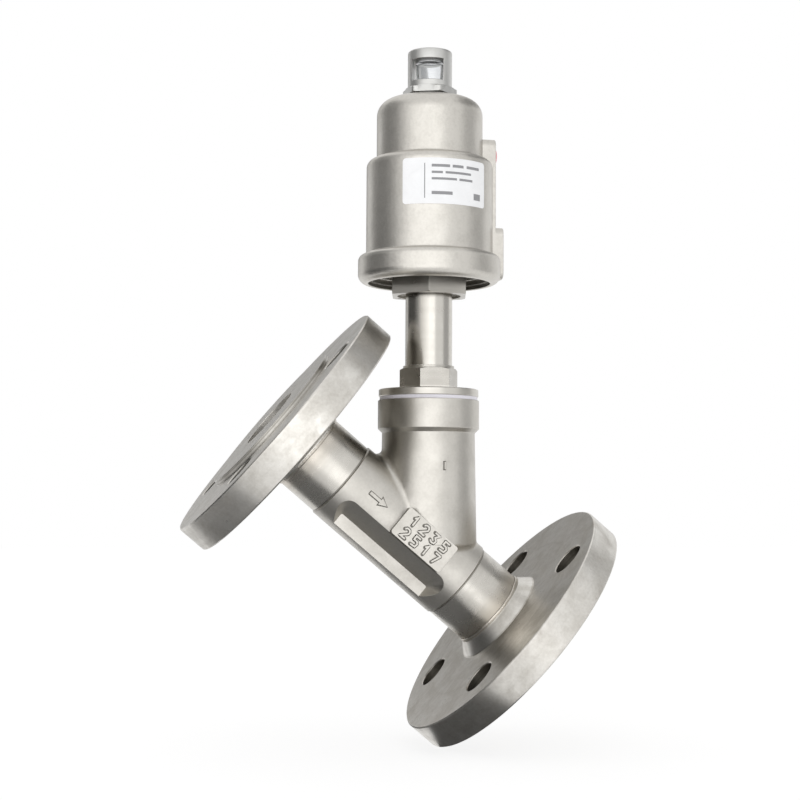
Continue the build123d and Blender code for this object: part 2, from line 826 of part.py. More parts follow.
with BuildPart() as indicator_hood:
    add(hood_hex)
    with BuildSketch(stem_section):
        ring_section(0, hood_spigot / 2, upper_bore_top, hood_low)
        with BuildLine():
            Polyline(
                (0, hood_low),
                (hood_diameter / 2, hood_low),
                (hood_diameter / 2, hood_top - hood_edge),
                (hood_diameter / 2 - hood_edge, hood_top),
                (0, hood_top),
                close=True,
            )
        make_face()
    revolve(axis=stem_axis)
    with BuildSketch(across_stem(window_low, hood_turn)):
        Rectangle(2 * hood_diameter, window_width)
    extrude(amount=window_height, mode=Mode.SUBTRACT)
    with BuildSketch(stem_section):
        ring_section(0, hood_bore / 2, upper_bore_top, dome_flange_high)
        ring_section(0, dome_r, upper_bore_top, window_low)
    revolve(axis=stem_axis, mode=Mode.SUBTRACT)
finish(indicator_hood, "indicator_hood")

plain_ring("hood_gasket", hood_spigot / 2, hood_gasket_diameter / 2, housing_top, hood_low)

# Clear dome in the window, flanged below and closed above, with its retaining ring
with BuildPart() as clear_dome:
    with BuildSketch(stem_section):
        with BuildLine():
            FilletPolyline(
                (0, dome_flange_low),
                (hood_bore / 2, dome_flange_low),
                (hood_bore / 2, dome_flange_high),
                (dome_r, dome_flange_high),
                (dome_r, window_high),
                (0, window_high),
                radius=[0, 0, 0, 0, dome_round, 0],
                close=True,
            )
        make_face()
    revolve(axis=stem_axis)
    with BuildSketch(stem_section):
        ring_section(0, dome_r - dome_wall, dome_flange_low, window_high - dome_wall)
    revolve(axis=stem_axis, mode=Mode.SUBTRACT)
finish(clear_dome, "clear_dome")

plain_ring("dome_retainer", dome_r - dome_wall, hood_bore / 2, retainer_low, dome_flange_low)

# Stem, turned down to a thread at each end
seal_low = seat_lip_height
seal_high = seal_low + seal_thickness
plug_rim_low = seal_low + seal_proud
plug_top = seal_low + plug_height
shoulder_low = seal_low + plug_shoulder_height
washer_low = seal_low - seal_washer_thickness
plug_nut_low = washer_low - plug_nut_height
stem_low = plug_nut_low - stem_tail
shoulder_high = piston_low + piston_o_ring_height
piston_nut_high = piston_top + piston_nut_height
pin_thread_high = piston_nut_high + pin_thread_length
pin_top = window_high - dome_wall - stroke - pin_gap

with BuildPart() as stem:
    with BuildSketch(stem_section):
        ring_section(0, thread_r, stem_low, piston_nut_high)
        ring_section(0, stem_r, shoulder_low, shoulder_high)
        ring_section(0, pin_thread / 2, piston_nut_high, pin_thread_high)
    revolve(axis=stem_axis)
finish(stem, "stem")

# Plug with its soft seal, clamped by a washer and nut below
with BuildPart() as plug:
    with BuildSketch(stem_section):
        with BuildLine():
            Polyline(
                (0, seal_low),
                (seal_hole / 2, seal_low),
                (seal_hole / 2, plug_rim_low),
                (plug_r, plug_rim_low),
                (plug_r, seal_low + plug_rim_height),
                (plug_top_diameter / 2, plug_top),
                (0, plug_top),
                close=True,
            )
        make_face()
    revolve(axis=stem_axis)
    with BuildSketch(stem_section):
        ring_section(0, thread_r, seal_low, shoulder_low)
        ring_section(0, stem_r, shoulder_low, plug_top)
        ring_section(seal_hole / 2, plug_r - seal_proud, seal_low, seal_high)
    revolve(axis=stem_axis, mode=Mode.SUBTRACT)
finish(plug, "plug")

plain_ring("plug_seal", seal_hole / 2, plug_r - seal_proud, seal_low, seal_high)
seal_washer_r = seat_r - seal_washer_gap
plain_ring("seal_washer", thread_r, seal_washer_r, washer_low, seal_low)


def stem_nut(label, across_flats, low, high):
    """Hexagon nut on a threaded end of the stem."""
    prism = bevelled_hex(across_flats, low, high, nut_chamfer, nut_chamfer, 0)
    with BuildPart() as nut:
        add(prism)
        with BuildSketch(stem_section):
            ring_section(0, thread_r, low, high)
        revolve(axis=stem_axis, mode=Mode.SUBTRACT)
    finish(nut, label)


stem_nut("plug_nut", plug_nut_across_flats, plug_nut_low, washer_low)
stem_nut("piston_nut", piston_nut_across_flats, piston_top, piston_nut_high)

# Piston with a seal and a guide band in its rim
piston_r = cylinder_r - body_clearance
seal_groove_low = piston_low + piston_land
seal_groove_high = seal_groove_low + piston_seal_width
band_groove_low = seal_groove_high + piston_land
band_groove_high = band_groove_low + piston_band_width
seal_groove_r = piston_r - piston_seal_depth
band_groove_r = piston_r - piston_band_depth

with BuildPart() as piston:
    with BuildSketch(stem_section):
        ring_section(thread_r, piston_r, piston_low, piston_top)
    revolve(axis=stem_axis)
    with BuildSketch(stem_section):
        ring_section(0, piston_o_ring_diameter / 2, piston_low, shoulder_high)
        dish_r = seal_groove_r - piston_wall
        ring_section(piston_hub_diameter / 2, dish_r, piston_low, piston_top - piston_web)
        ring_section(seal_groove_r, cylinder_r, seal_groove_low, seal_groove_high)
        ring_section(band_groove_r, cylinder_r, band_groove_low, band_groove_high)
    revolve(axis=stem_axis, mode=Mode.SUBTRACT)
finish(piston, "piston")

seal_r = cylinder_r - seal_clearance
plain_ring("piston_seal", seal_groove_r, seal_r, seal_groove_low, seal_groove_high)
band_r = cylinder_r - sliding_clearance
plain_ring("piston_band", band_groove_r, band_r, band_groove_low, band_groove_high)
plain_ring("piston_o_ring", stem_r, piston_o_ring_diameter / 2, piston_low, shoulder_high)

# Indicator pin on the stem's top end
with BuildPart() as indicator_pin:
    with BuildSketch(stem_section):
        ring_section(0, pin_boss_diameter / 2, piston_nut_high, piston_nut_high + pin_boss_height)
        ring_section(0, pin_diameter / 2, piston_nut_high, pin_top)
    revolve(axis=stem_axis)
    with BuildSketch(stem_section):
        ring_section(0, pin_thread / 2, piston_nut_high, pin_thread_high)
    revolve(axis=stem_axis, mode=Mode.SUBTRACT)
finish(indicator_pin, "indicator_pin")

# Closing spring between the piston and the top of the housing
spring_diameter = 2 * (upper_bore_r - spring_gap)
coil_spring("closing_spring", spring_diameter, spring_wire, spring_turns, piston_top, upper_bore_top)
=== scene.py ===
import json
from math import cos, radians, sin, tau

import bmesh
import bpy
from mathutils import Euler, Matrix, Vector


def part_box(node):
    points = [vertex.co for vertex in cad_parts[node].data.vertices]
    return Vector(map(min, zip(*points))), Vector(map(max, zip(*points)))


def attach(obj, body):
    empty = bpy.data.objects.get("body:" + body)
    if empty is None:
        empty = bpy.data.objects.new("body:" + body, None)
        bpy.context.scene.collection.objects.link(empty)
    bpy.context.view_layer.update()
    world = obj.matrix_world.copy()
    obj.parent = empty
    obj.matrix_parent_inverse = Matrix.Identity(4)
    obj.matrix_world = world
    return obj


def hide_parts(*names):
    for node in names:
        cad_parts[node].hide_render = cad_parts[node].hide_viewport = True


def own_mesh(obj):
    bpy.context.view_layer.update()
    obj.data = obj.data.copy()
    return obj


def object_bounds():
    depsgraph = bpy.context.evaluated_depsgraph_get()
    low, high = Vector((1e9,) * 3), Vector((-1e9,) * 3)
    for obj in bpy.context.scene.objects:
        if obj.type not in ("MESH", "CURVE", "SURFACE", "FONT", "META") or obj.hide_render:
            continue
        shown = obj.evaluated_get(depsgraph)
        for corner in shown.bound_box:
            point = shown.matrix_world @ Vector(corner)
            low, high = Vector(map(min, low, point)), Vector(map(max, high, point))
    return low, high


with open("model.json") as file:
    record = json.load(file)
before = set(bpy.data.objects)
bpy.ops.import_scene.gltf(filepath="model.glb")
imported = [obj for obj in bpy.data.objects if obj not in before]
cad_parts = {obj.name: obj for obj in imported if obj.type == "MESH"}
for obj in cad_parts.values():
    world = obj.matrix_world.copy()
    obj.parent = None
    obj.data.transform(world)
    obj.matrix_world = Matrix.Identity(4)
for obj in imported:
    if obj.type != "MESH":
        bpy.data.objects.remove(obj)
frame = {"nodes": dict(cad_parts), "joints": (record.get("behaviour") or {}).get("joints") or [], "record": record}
cad_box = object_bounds()

# The valve's own axes, read from the frame: the pipe's axis goes through the origin
mounts = {mount["name"]: mount for mount in frame["record"]["mounts"]}
joints = {joint["name"]: joint for joint in frame["joints"]}
along_inlet = Vector(mounts["inlet_bore"]["axis"])
stem_x = joints["actuator_swivel"]["pos_m"][0]
crossing = along_inlet * (stem_x / along_inlet.x)
across_pipe = Vector((-along_inlet.z, 0, along_inlet.x))
mm = 0.001


def new_node(tree, kind, inputs=None, **settings):
    """Add a node, set its properties, and feed its inputs with values or with other sockets."""
    made = tree.nodes.new(kind)
    for name, value in settings.items():
        setattr(made, name, value)
    for name, value in (inputs or {}).items():
        if isinstance(value, bpy.types.NodeSocket):
            tree.links.new(value, made.inputs[name])
        else:
            made.inputs[name].default_value = value
    return made


def calculate(tree, operation, first, second=0.5, clamp=False):
    """One step of arithmetic on sockets or numbers."""
    values = {0: first, 1: second}
    return new_node(tree, "ShaderNodeMath", values, operation=operation, use_clamp=clamp).outputs[0]


def vector_step(tree, operation, first, second=(0, 0, 0)):
    """One step of vector arithmetic; a length and a dot product give a number."""
    made = new_node(tree, "ShaderNodeVectorMath", {0: first, 1: second}, operation=operation)
    return made.outputs["Value" if operation in ("LENGTH", "DOT_PRODUCT") else "Vector"]


def spread(tree, value, low, high, new_low=0.0, new_high=1.0):
    """Stretch one span of values onto another, and clamp to it."""
    limits = {"From Min": low, "From Max": high, "To Min": new_low, "To Max": new_high}
    return new_node(tree, "ShaderNodeMapRange", {"Value": value, **limits}).outputs[0]


def blend_colours(tree, amount, first, second):
    """Mix two colours by an amount."""
    values = {0: amount, 6: first, 7: second}
    return new_node(tree, "ShaderNodeMix", values, data_type="RGBA").outputs[2]


def new_group(name, inputs, outputs):
    """Start a node group; returns its tree, its input sockets by name and its output node."""
    tree = bpy.data.node_groups.new(name, "ShaderNodeTree")
    for label, kind, value in inputs:
        socket = tree.interface.new_socket(name=label, in_out="INPUT", socket_type=kind)
        socket.default_value = value
    for label, kind in outputs:
        tree.interface.new_socket(name=label, in_out="OUTPUT", socket_type=kind)
    entry = tree.nodes.new("NodeGroupInput")
    result = tree.nodes.new("NodeGroupOutput")
    return tree, entry.outputs, result


def use_group(tree, group, inputs):
    """Place a node group in a material and return its outputs."""
    return new_node(tree, "ShaderNodeGroup", inputs, node_tree=group).outputs


def millimetres(tree):
    """The place on the piece, in millimetres."""
    place = new_node(tree, "ShaderNodeTexCoord").outputs["Object"]
    scaled = new_node(tree, "ShaderNodeVectorMath", {0: place, "Scale": 1000.0}, operation="SCALE")
    return scaled.outputs[0]


def noise(tree, place, size, detail=2.0, roughness=0.5, distortion=0.0):
    """Noise whose patches are about as large as the size, in millimetres."""
    linked = isinstance(size, bpy.types.NodeSocket)
    scale = calculate(tree, "DIVIDE", 1.0, size) if linked else 1.0 / size
    values = {"Vector": place, "Scale": scale, "Detail": detail}
    values |= {"Roughness": roughness, "Distortion": distortion}
    return new_node(tree, "ShaderNodeTexNoise", values).outputs["Fac"]


def even_mix(tree, first, second):
    """Half of one value and half of another."""
    halves = [calculate(tree, "MULTIPLY", value, 0.5) for value in (first, second)]
    return calculate(tree, "ADD", *halves)


def true_normal(tree):
    """The way that the mesh itself faces."""
    return new_node(tree, "ShaderNodeNewGeometry").outputs["True Normal"]


def along_and_away(tree, place, axis):
    """How far a place is along an axis through the origin, and how far away from that axis."""
    along = vector_step(tree, "DOT_PRODUCT", place, axis)
    aside = vector_step(tree, "CROSS_PRODUCT", place, axis)
    return along, vector_step(tree, "LENGTH", aside)


# Shared effects


def make_blasted_grain():
    """Fine grain left by bead blasting: shallow pits, a slight swell and a soft mottling."""
    tree, given, result = new_group(
        "blasted grain",
        [("Grain Size", "NodeSocketFloat", 0.5)],
        [("Height", "NodeSocketFloat"), ("Mottle", "NodeSocketFloat")],
    )
    place = millimetres(tree)
    grain = noise(tree, place, given["Grain Size"])
    pit_size = calculate(tree, "MULTIPLY", given["Grain Size"], 2.2)
    pits = spread(tree, noise(tree, place, pit_size, detail=1.0), 0.3, 0.42, -0.8, 0.0)
    swell = calculate(tree, "MULTIPLY", noise(tree, place, 1.7, detail=1.0), 2.6)
    height = calculate(tree, "ADD", calculate(tree, "ADD", grain, pits), swell)
    fine = noise(tree, place, 1.1, detail=3.0, roughness=0.6)
    broad = noise(tree, place, 6.0, detail=4.0, roughness=0.6)
    tree.links.new(height, result.inputs["Height"])
    tree.links.new(even_mix(tree, fine, broad), result.inputs["Mottle"])
    return tree


def make_turning_marks():
    """Rings left by a lathe tool round an axis."""
    tree, given, result = new_group(
        "turning marks",
        [
            ("Centre", "NodeSocketVector", (0, 0, 0)),
            ("Axis", "NodeSocketVector", (0, 0, 1)),
            ("Pitch", "NodeSocketFloat", 0.3),
        ],
        [("Height", "NodeSocketFloat"), ("Sheen", "NodeSocketFloat")],
    )
    place = millimetres(tree)
    offset = vector_step(tree, "SUBTRACT", place, given["Centre"])
    along, radius = along_and_away(tree, offset, given["Axis"])
    rings = new_node(tree, "ShaderNodeCombineXYZ", {0: radius, 1: along}).outputs[0]
    fine = noise(tree, rings, given["Pitch"], detail=3.0, roughness=0.7)
    broad = noise(tree, rings, calculate(tree, "MULTIPLY", given["Pitch"], 7.0))
    patches = noise(tree, place, 9.0, detail=3.0)
    height = calculate(tree, "MULTIPLY", fine, spread(tree, patches, 0.3, 0.7, 0.5, 1.0))
    tree.links.new(height, result.inputs["Height"])
    tree.links.new(even_mix(tree, broad, patches), result.inputs["Sheen"])
    return tree


def make_clouding():
    """Faint cloudy stains of handling and cleaning."""
    tree, given, result = new_group(
        "clouding",
        [("Patch Size", "NodeSocketFloat", 12.0)],
        [("Cloud", "NodeSocketFloat")],
    )
    place = millimetres(tree)
    cloud = noise(tree, place, given["Patch Size"], detail=6.0, roughness=0.62, distortion=0.6)
    tree.links.new(spread(tree, cloud, 0.32, 0.68), result.inputs["Cloud"])
    return tree


def make_edge_rub():
    """Edges rubbed bright, found where a rounded normal leaves the true one."""
    tree, given, result = new_group(
        "edge rub",
        [("Width", "NodeSocketFloat", 0.3)],
        [("Edge", "NodeSocketFloat"), ("Soft Normal", "NodeSocketVector")],
    )
    width = calculate(tree, "MULTIPLY", given["Width"], mm)
    rounded = new_node(tree, "ShaderNodeBevel", {"Radius": width}, samples=6).outputs[0]
    match = vector_step(tree, "DOT_PRODUCT", rounded, true_normal(tree))
    edge = spread(tree, match, 0.985, 0.8)
    worn = noise(tree, millimetres(tree), 1.6, detail=3.0)
    edge = calculate(tree, "MULTIPLY", edge, spread(tree, worn, 0.3, 0.6, 0.45, 1.0), clamp=True)
    tree.links.new(edge, result.inputs["Edge"])
    tree.links.new(rounded, result.inputs["Soft Normal"])
    return tree


def make_heat_tint():
    """Straw and brown tint on both sides of a welded ring, at a distance along an axis."""
    tree, given, result = new_group(
        "heat tint",
        [
            ("Axis", "NodeSocketVector", (0, 0, 1)),
            ("Weld Distance", "NodeSocketFloat", 0.0),
            ("Reach", "NodeSocketFloat", 8.0),
            ("Pipe Reach", "NodeSocketFloat", 18.5),
        ],
        [("Tint", "NodeSocketFloat")],
    )
    place = millimetres(tree)
    along, radius = along_and_away(tree, place, given["Axis"])
    within = calculate(tree, "SUBTRACT", given["Pipe Reach"], radius, clamp=True)
    away = calculate(tree, "ABSOLUTE", calculate(tree, "SUBTRACT", along, given["Weld Distance"]))
    wander = calculate(tree, "MULTIPLY", noise(tree, place, 7.0, detail=3.0), 4.0)
    away = calculate(tree, "ADD", away, wander)
    share = calculate(tree, "DIVIDE", away, given["Reach"])
    tint = calculate(tree, "MULTIPLY", spread(tree, share, 1.25, 0.25), within)
    tree.links.new(tint, result.inputs["Tint"])
    return tree


def make_pipe_band():
    """A soft-edged band between two distances along an axis, within a reach of it."""
    tree, given, result = new_group(
        "pipe band",
        [
            ("Centre", "NodeSocketVector", (0, 0, 0)),
            ("Axis", "NodeSocketVector", (0, 0, 1)),
            ("From", "NodeSocketFloat", 0.0),
            ("To", "NodeSocketFloat", 10.0),
            ("Softness", "NodeSocketFloat", 0.3),
            ("Reach", "NodeSocketFloat", 18.5),
        ],
        [("Band", "NodeSocketFloat")],
    )
    place = vector_step(tree, "SUBTRACT", millimetres(tree), given["Centre"])
    along, radius = along_and_away(tree, place, given["Axis"])
    band = 1.0
    for more, less in ((given["Reach"], radius), (along, given["From"]), (given["To"], along)):
        room = calculate(tree, "SUBTRACT", more, less)
        band = calculate(tree, "MINIMUM", band, calculate(tree, "DIVIDE", room, given["Softness"]))
    tree.links.new(calculate(tree, "MAXIMUM", band, 0.0), result.inputs["Band"])
    return tree


def make_mark_walls():
    """The steep side walls of the marking plates and of the raised marks on them."""
    tree, given, result = new_group(
        "mark walls",
        [
            ("Along", "NodeSocketVector", (0, 0, 1)),
            ("Across", "NodeSocketVector", (1, 0, 0)),
            ("Centre", "NodeSocketVector", (0, 0, 0)),
            ("Half Length", "NodeSocketFloat", 13.0),
            ("Half Width", "NodeSocketFloat", 6.5),
        ],
        [("Wall", "NodeSocketFloat")],
    )
    # The plates stand further out than this from the pipe's middle plane
    plates_from, plates_whole = 14.0, 14.6
    offset = vector_step(tree, "SUBTRACT", millimetres(tree), given["Centre"])
    inside = 1.0
    for direction, half in (("Along", "Half Length"), ("Across", "Half Width")):
        reach = vector_step(tree, "DOT_PRODUCT", offset, given[direction])
        room = calculate(tree, "SUBTRACT", given[half], calculate(tree, "ABSOLUTE", reach))
        inside = calculate(tree, "MINIMUM", inside, calculate(tree, "MULTIPLY", room, 8.0))
    facing = new_node(tree, "ShaderNodeSeparateXYZ", {0: true_normal(tree)}).outputs[1]
    steep = spread(tree, calculate(tree, "ABSOLUTE", facing), 0.75, 0.4)
    side = new_node(tree, "ShaderNodeSeparateXYZ", {0: offset}).outputs[1]
    proud = spread(tree, calculate(tree, "ABSOLUTE", side), plates_from, plates_whole)
    inside = calculate(tree, "MULTIPLY", inside, proud)
    wall = calculate(tree, "MULTIPLY", steep, inside, clamp=True)
    tree.links.new(wall, result.inputs["Wall"])
    return tree


def make_hole_walls():
    """Walls of the bolt holes and of the raised face's step, between two radii from the axis."""
    tree, given, result = new_group(
        "hole walls",
        [
            ("Axis", "NodeSocketVector", (0, 0, 1)),
            ("Inner", "NodeSocketFloat", 30.0),
            ("Outer", "NodeSocketFloat", 52.0),
        ],
        [("Wall", "NodeSocketFloat")],
    )
    along, radius = along_and_away(tree, millimetres(tree), given["Axis"])
    after = calculate(tree, "SUBTRACT", radius, given["Inner"])
    before = calculate(tree, "SUBTRACT", given["Outer"], radius)
    inside = calculate(tree, "MINIMUM", after, before)
    facing = vector_step(tree, "DOT_PRODUCT", true_normal(tree), given["Axis"])
    steep = spread(tree, calculate(tree, "ABSOLUTE", facing), 0.8, 0.3)
    rings = new_node(tree, "ShaderNodeCombineXYZ", {0: along}).outputs[0]
    ridges = spread(tree, noise(tree, rings, 0.9, detail=1.0), 0.35, 0.6, 0.55, 1.0)
    wall = calculate(tree, "MINIMUM", inside, calculate(tree, "MULTIPLY", steep, ridges))
    tree.links.new(calculate(tree, "MAXIMUM", wall, 0.0), result.inputs["Wall"])
    return tree


blasted_grain = make_blasted_grain()
hole_walls = make_hole_walls()
mark_walls = make_mark_walls()
pipe_band = make_pipe_band()
turning_marks = make_turning_marks()
clouding = make_clouding()
edge_rub = make_edge_rub()
heat_tint = make_heat_tint()


# Materials


def new_material(name, **settings):
    """Start a Principled material with plain sockets set; returns material, tree and shader."""
    material = bpy.data.materials.new(name)
    material.use_nodes = True
    tree = material.node_tree
    shader = tree.nodes["Principled BSDF"]
    for label, value in settings.items():
        shader.inputs[label.replace("_", " ")].default_value = value
    return material, tree, shader


def stain_or_painted_shade(tree, shown, mask, strength, colour):
    """Lay a colour over the shown one where a mask says so: a tint, wear or painted shade."""
    return blend_colours(tree, calculate(tree, "MULTIPLY", mask, strength), shown, colour)


def bumped(tree, height, depth, **normal):
    """The surface's normal with a height laid on it; the depth is in metres."""
    values = {"Height": height, "Distance": depth, **normal}
    return new_node(tree, "ShaderNodeBump", values).outputs[0]


def band_on_pipe(tree, limits, softness=0.3, reach=18.5):
    """Mask of a band round the pipe, between two distances from the outlet face."""
    values = {"Axis": along_inlet, "From": limits[0], "To": limits[1]}
    values |= {"Softness": softness, "Reach": reach}
    return use_group(tree, pipe_band, values)["Band"]


def finish_surface(tree, shader, shown, rough, normal):
    """Feed the shader its colour, roughness and normal."""
    for label, socket in (("Base Color", shown), ("Roughness", rough), ("Normal", normal)):
        tree.links.new(socket, shader.inputs[label])


steel_grey = (0.62, 0.598, 0.555, 1)
steel_dark = (0.44, 0.422, 0.385, 1)
steel_bright = (0.76, 0.745, 0.71, 1)
straw = (0.56, 0.47, 0.36, 1)
# Colour of painted shade in the pipe's steps, hole walls, places round the stem, flanks and walls of the marks
painted_shade_colour = (0.13, 0.12, 0.1, 1)


def steel(
    name,
    colour=steel_grey,
    shade=steel_dark,
    roughness=0.34,
    roughness_spread=0.05,
    grain_size=None,
    grain_depth=0.006,
    mottling=1.0,
    turned_about=None,
    pitch=0.3,
    turning_depth=0.004,
    patch=14.0,
    clouds=0.3,
    edge_width=0.25,
    machined_bands=(),
    painted_shade_bands=(),
    step_shadow_bands=(),
    plate=None,
    painted_shades=(),
    painted_hole_shade=None,
    weld_distances=(),
    weld_reach=9.0,
):
    """Stainless steel: blasted grain, turning marks, faint clouds, rubbed edges and weld tint.

    Where machined bands are given, the turning marks and a lower roughness show in them only.
    The flange faces' bands, the pipe's steps, the hole walls, places round the stem, flanks towards the inlet and
    the walls of the plate's marks get painted shade.
    """
    material, tree, shader = new_material(name, Metallic=1.0)
    cloud = use_group(tree, clouding, {"Patch Size": patch})["Cloud"]
    edges = use_group(tree, edge_rub, {"Width": edge_width})
    tone = calculate(tree, "MULTIPLY", cloud, clouds)
    smoothest, roughest = roughness - roughness_spread, roughness + roughness_spread
    rough = spread(tree, cloud, 0.0, 1.0, smoothest, roughest)
    normal = edges["Soft Normal"]
    machined = 0.0
    for limits in machined_bands:
        machined = calculate(tree, "MAXIMUM", machined, band_on_pipe(tree, limits))
    if grain_size:
        grain = use_group(tree, blasted_grain, {"Grain Size": grain_size})
        mottle = spread(tree, grain["Mottle"], 0.35, 0.65, -0.1 * mottling, 0.14 * mottling)
        depth = grain_depth * mm
        if machined_bands:
            cast = calculate(tree, "SUBTRACT", 1.0, machined)
            mottle = calculate(tree, "MULTIPLY", mottle, cast)
            depth = calculate(tree, "MULTIPLY", cast, depth)
        tone = calculate(tree, "ADD", tone, mottle, clamp=True)
        normal = bumped(tree, grain["Height"], depth, Normal=normal)
    if turned_about:
        centre, axis = turned_about
        marks = use_group(tree, turning_marks, {"Centre": centre, "Axis": axis, "Pitch": pitch})
        depth = turning_depth * mm
        rough_change = spread(tree, marks["Sheen"], 0.3, 0.7, -0.05, 0.07)
        tone_change = spread(tree, marks["Sheen"], 0.35, 0.65, -0.1, 0.14)
        if machined_bands:
            smoother = 0.13
            depth = calculate(tree, "MULTIPLY", machined, depth)
            rough_change = calculate(tree, "SUBTRACT", rough_change, smoother)
            rough_change = calculate(tree, "MULTIPLY", rough_change, machined)
            tone_change = calculate(tree, "MULTIPLY", tone_change, machined)
        rough = calculate(tree, "ADD", rough, rough_change)
        tone = calculate(tree, "ADD", tone, tone_change, clamp=True)
        normal = bumped(tree, marks["Height"], depth, Normal=normal)
    # Painted shade on the flange faces: the colour turns darker in these bands
    for limits in painted_shade_bands:
        painted_dark = band_on_pipe(tree, limits, reach=flange_face_reach)
        tone = calculate(tree, "ADD", tone, calculate(tree, "MULTIPLY", painted_dark, 0.5), clamp=True)
    shown = blend_colours(tree, tone, colour, shade)
    # Painted shadow lines along the steps between the barrel and the pipe ends
    for limits in step_shadow_bands:
        shown = stain_or_painted_shade(tree, shown, band_on_pipe(tree, limits, softness=0.2), 0.75, painted_shade_colour)
    # Painted shade in the bolt holes and at the raised face's step, broken by ridges
    if painted_hole_shade:
        wall = use_group(tree, hole_walls, {"Axis": along_inlet})["Wall"]
        shown = stain_or_painted_shade(tree, shown, wall, painted_hole_shade, painted_shade_colour)
    # Painted shade round the stem, and painted shade and dark reflection on flanks towards the inlet
    for place, strength in painted_shades:
        shown = stain_or_painted_shade(tree, shown, use_group(tree, pipe_band, place)["Band"], strength, painted_shade_colour)
    # Painted shade on the steep walls of the marking plate and of its raised marks
    if plate:
        centre, half_length, half_width = plate
        values = {"Along": along_inlet, "Across": across_pipe, "Centre": centre}
        values |= {"Half Length": half_length, "Half Width": half_width}
        shown = stain_or_painted_shade(tree, shown, use_group(tree, mark_walls, values)["Wall"], 0.8, painted_shade_colour)
    for distance in weld_distances:
        values = {"Axis": along_inlet, "Weld Distance": distance, "Reach": weld_reach}
        shown = stain_or_painted_shade(tree, shown, use_group(tree, heat_tint, values)["Tint"], 0.3, straw)
    shown = stain_or_painted_shade(tree, shown, edges["Edge"], 0.5, steel_bright)
    finish_surface(tree, shader, shown, rough, normal)
    return material


def moulded(name, colour, roughness=0.4, grain_depth=0.01, grain_size=0.6, **settings):
    """Rubber, plastic or film: faint grain, faint clouds and a slightly uneven gloss."""
    material, tree, shader = new_material(name, **settings)
    cloud = use_group(tree, clouding, {"Patch Size": 6.0})["Cloud"]
    grain = use_group(tree, blasted_grain, {"Grain Size": grain_size})
    darker = tuple(0.82 * part for part in colour[:3]) + (1,)
    shown = stain_or_painted_shade(tree, colour, cloud, 0.35, darker)
    rough = spread(tree, grain["Mottle"], 0.3, 0.7, roughness - 0.06, roughness + 0.08)
    finish_surface(tree, shader, shown, rough, bumped(tree, grain["Height"], grain_depth * mm))
    return material


pipe_line = ((0, 0, 0), tuple(along_inlet))
stem_line = (tuple(crossing / mm), (0, 0, 1))

# Painted shade bands on the flange faces stop just inside the flange's rim
flange_face_reach = 57.2

# Distances along the pipe's axis from the outlet face, in millimetres
crossing_distance = crossing.length / mm
outlet_weld = crossing_distance - 33.6
outlet_step = crossing_distance - 15.6
inlet_step = crossing_distance + 48.5
inlet_weld = crossing_distance + 65.9
pipe_ends = ((outlet_weld - 1, outlet_step), (inlet_step, inlet_weld + 1))
# Painted shadow lines at the two steps between the barrel and the pipe ends
step_shadow_lines = ((outlet_step - 0.45, outlet_step + 0.1), (inlet_step - 0.1, inlet_step + 0.45))

# Marking plate: its middle, and half its length along the pipe and half its width across it
plate_middle = along_inlet * (crossing_distance + 9.1) - across_pipe * 1.2
plate_half = (13.25, 6.75)


def painted_shade_round_stem(low, high, reach, strength):
    """Painted shade in a place round the stem that little light reaches: heights above the crossing, and a radius.
    """
    return {"Centre": stem_line[0], "From": low, "To": high, "Reach": reach}, strength


# Painted shade in the mouth of the housing's skirt, on the neck nut under it and on the bonnet's hexagon
mouth_low = (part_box("actuator_housing")[0].z - crossing.z) / mm
mouth_shade = painted_shade_round_stem(mouth_low + 0.1, mouth_low + 11.0, 26.45, 0.85)
nut_low, nut_high = ((corner.z - crossing.z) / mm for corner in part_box("neck_nut"))
nut_shade = painted_shade_round_stem(nut_low - 1.0, nut_high + 1.0, 19.0, 0.35)
bonnet_high = (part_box("bonnet")[1].z - crossing.z) / mm
hexagon_shade = painted_shade_round_stem(bonnet_high - 8.6, bonnet_high, 13.0, 0.28)


def painted_shade_towards_inlet(height, to, softness, reach, strength):
    """Painted shade on the flank that faces the inlet flange, round a height, up to a distance from the stem."""
    outside = -45.0
    place = {"Centre": (crossing.x / mm, 0, height), "Axis": (1, 0, 0), "From": outside, "To": to}
    return {**place, "Softness": softness, "Reach": reach}, strength


# Painted shade on the neck's flank and a painted dark reflection on the tube's flank, both facing the inlet
flank_shade = painted_shade_towards_inlet(90.0, -6.0, 9.0, 22.0, 0.55)
tube_shade = painted_shade_towards_inlet(125.0, -2.0, 3.0, 36.0, 0.5)

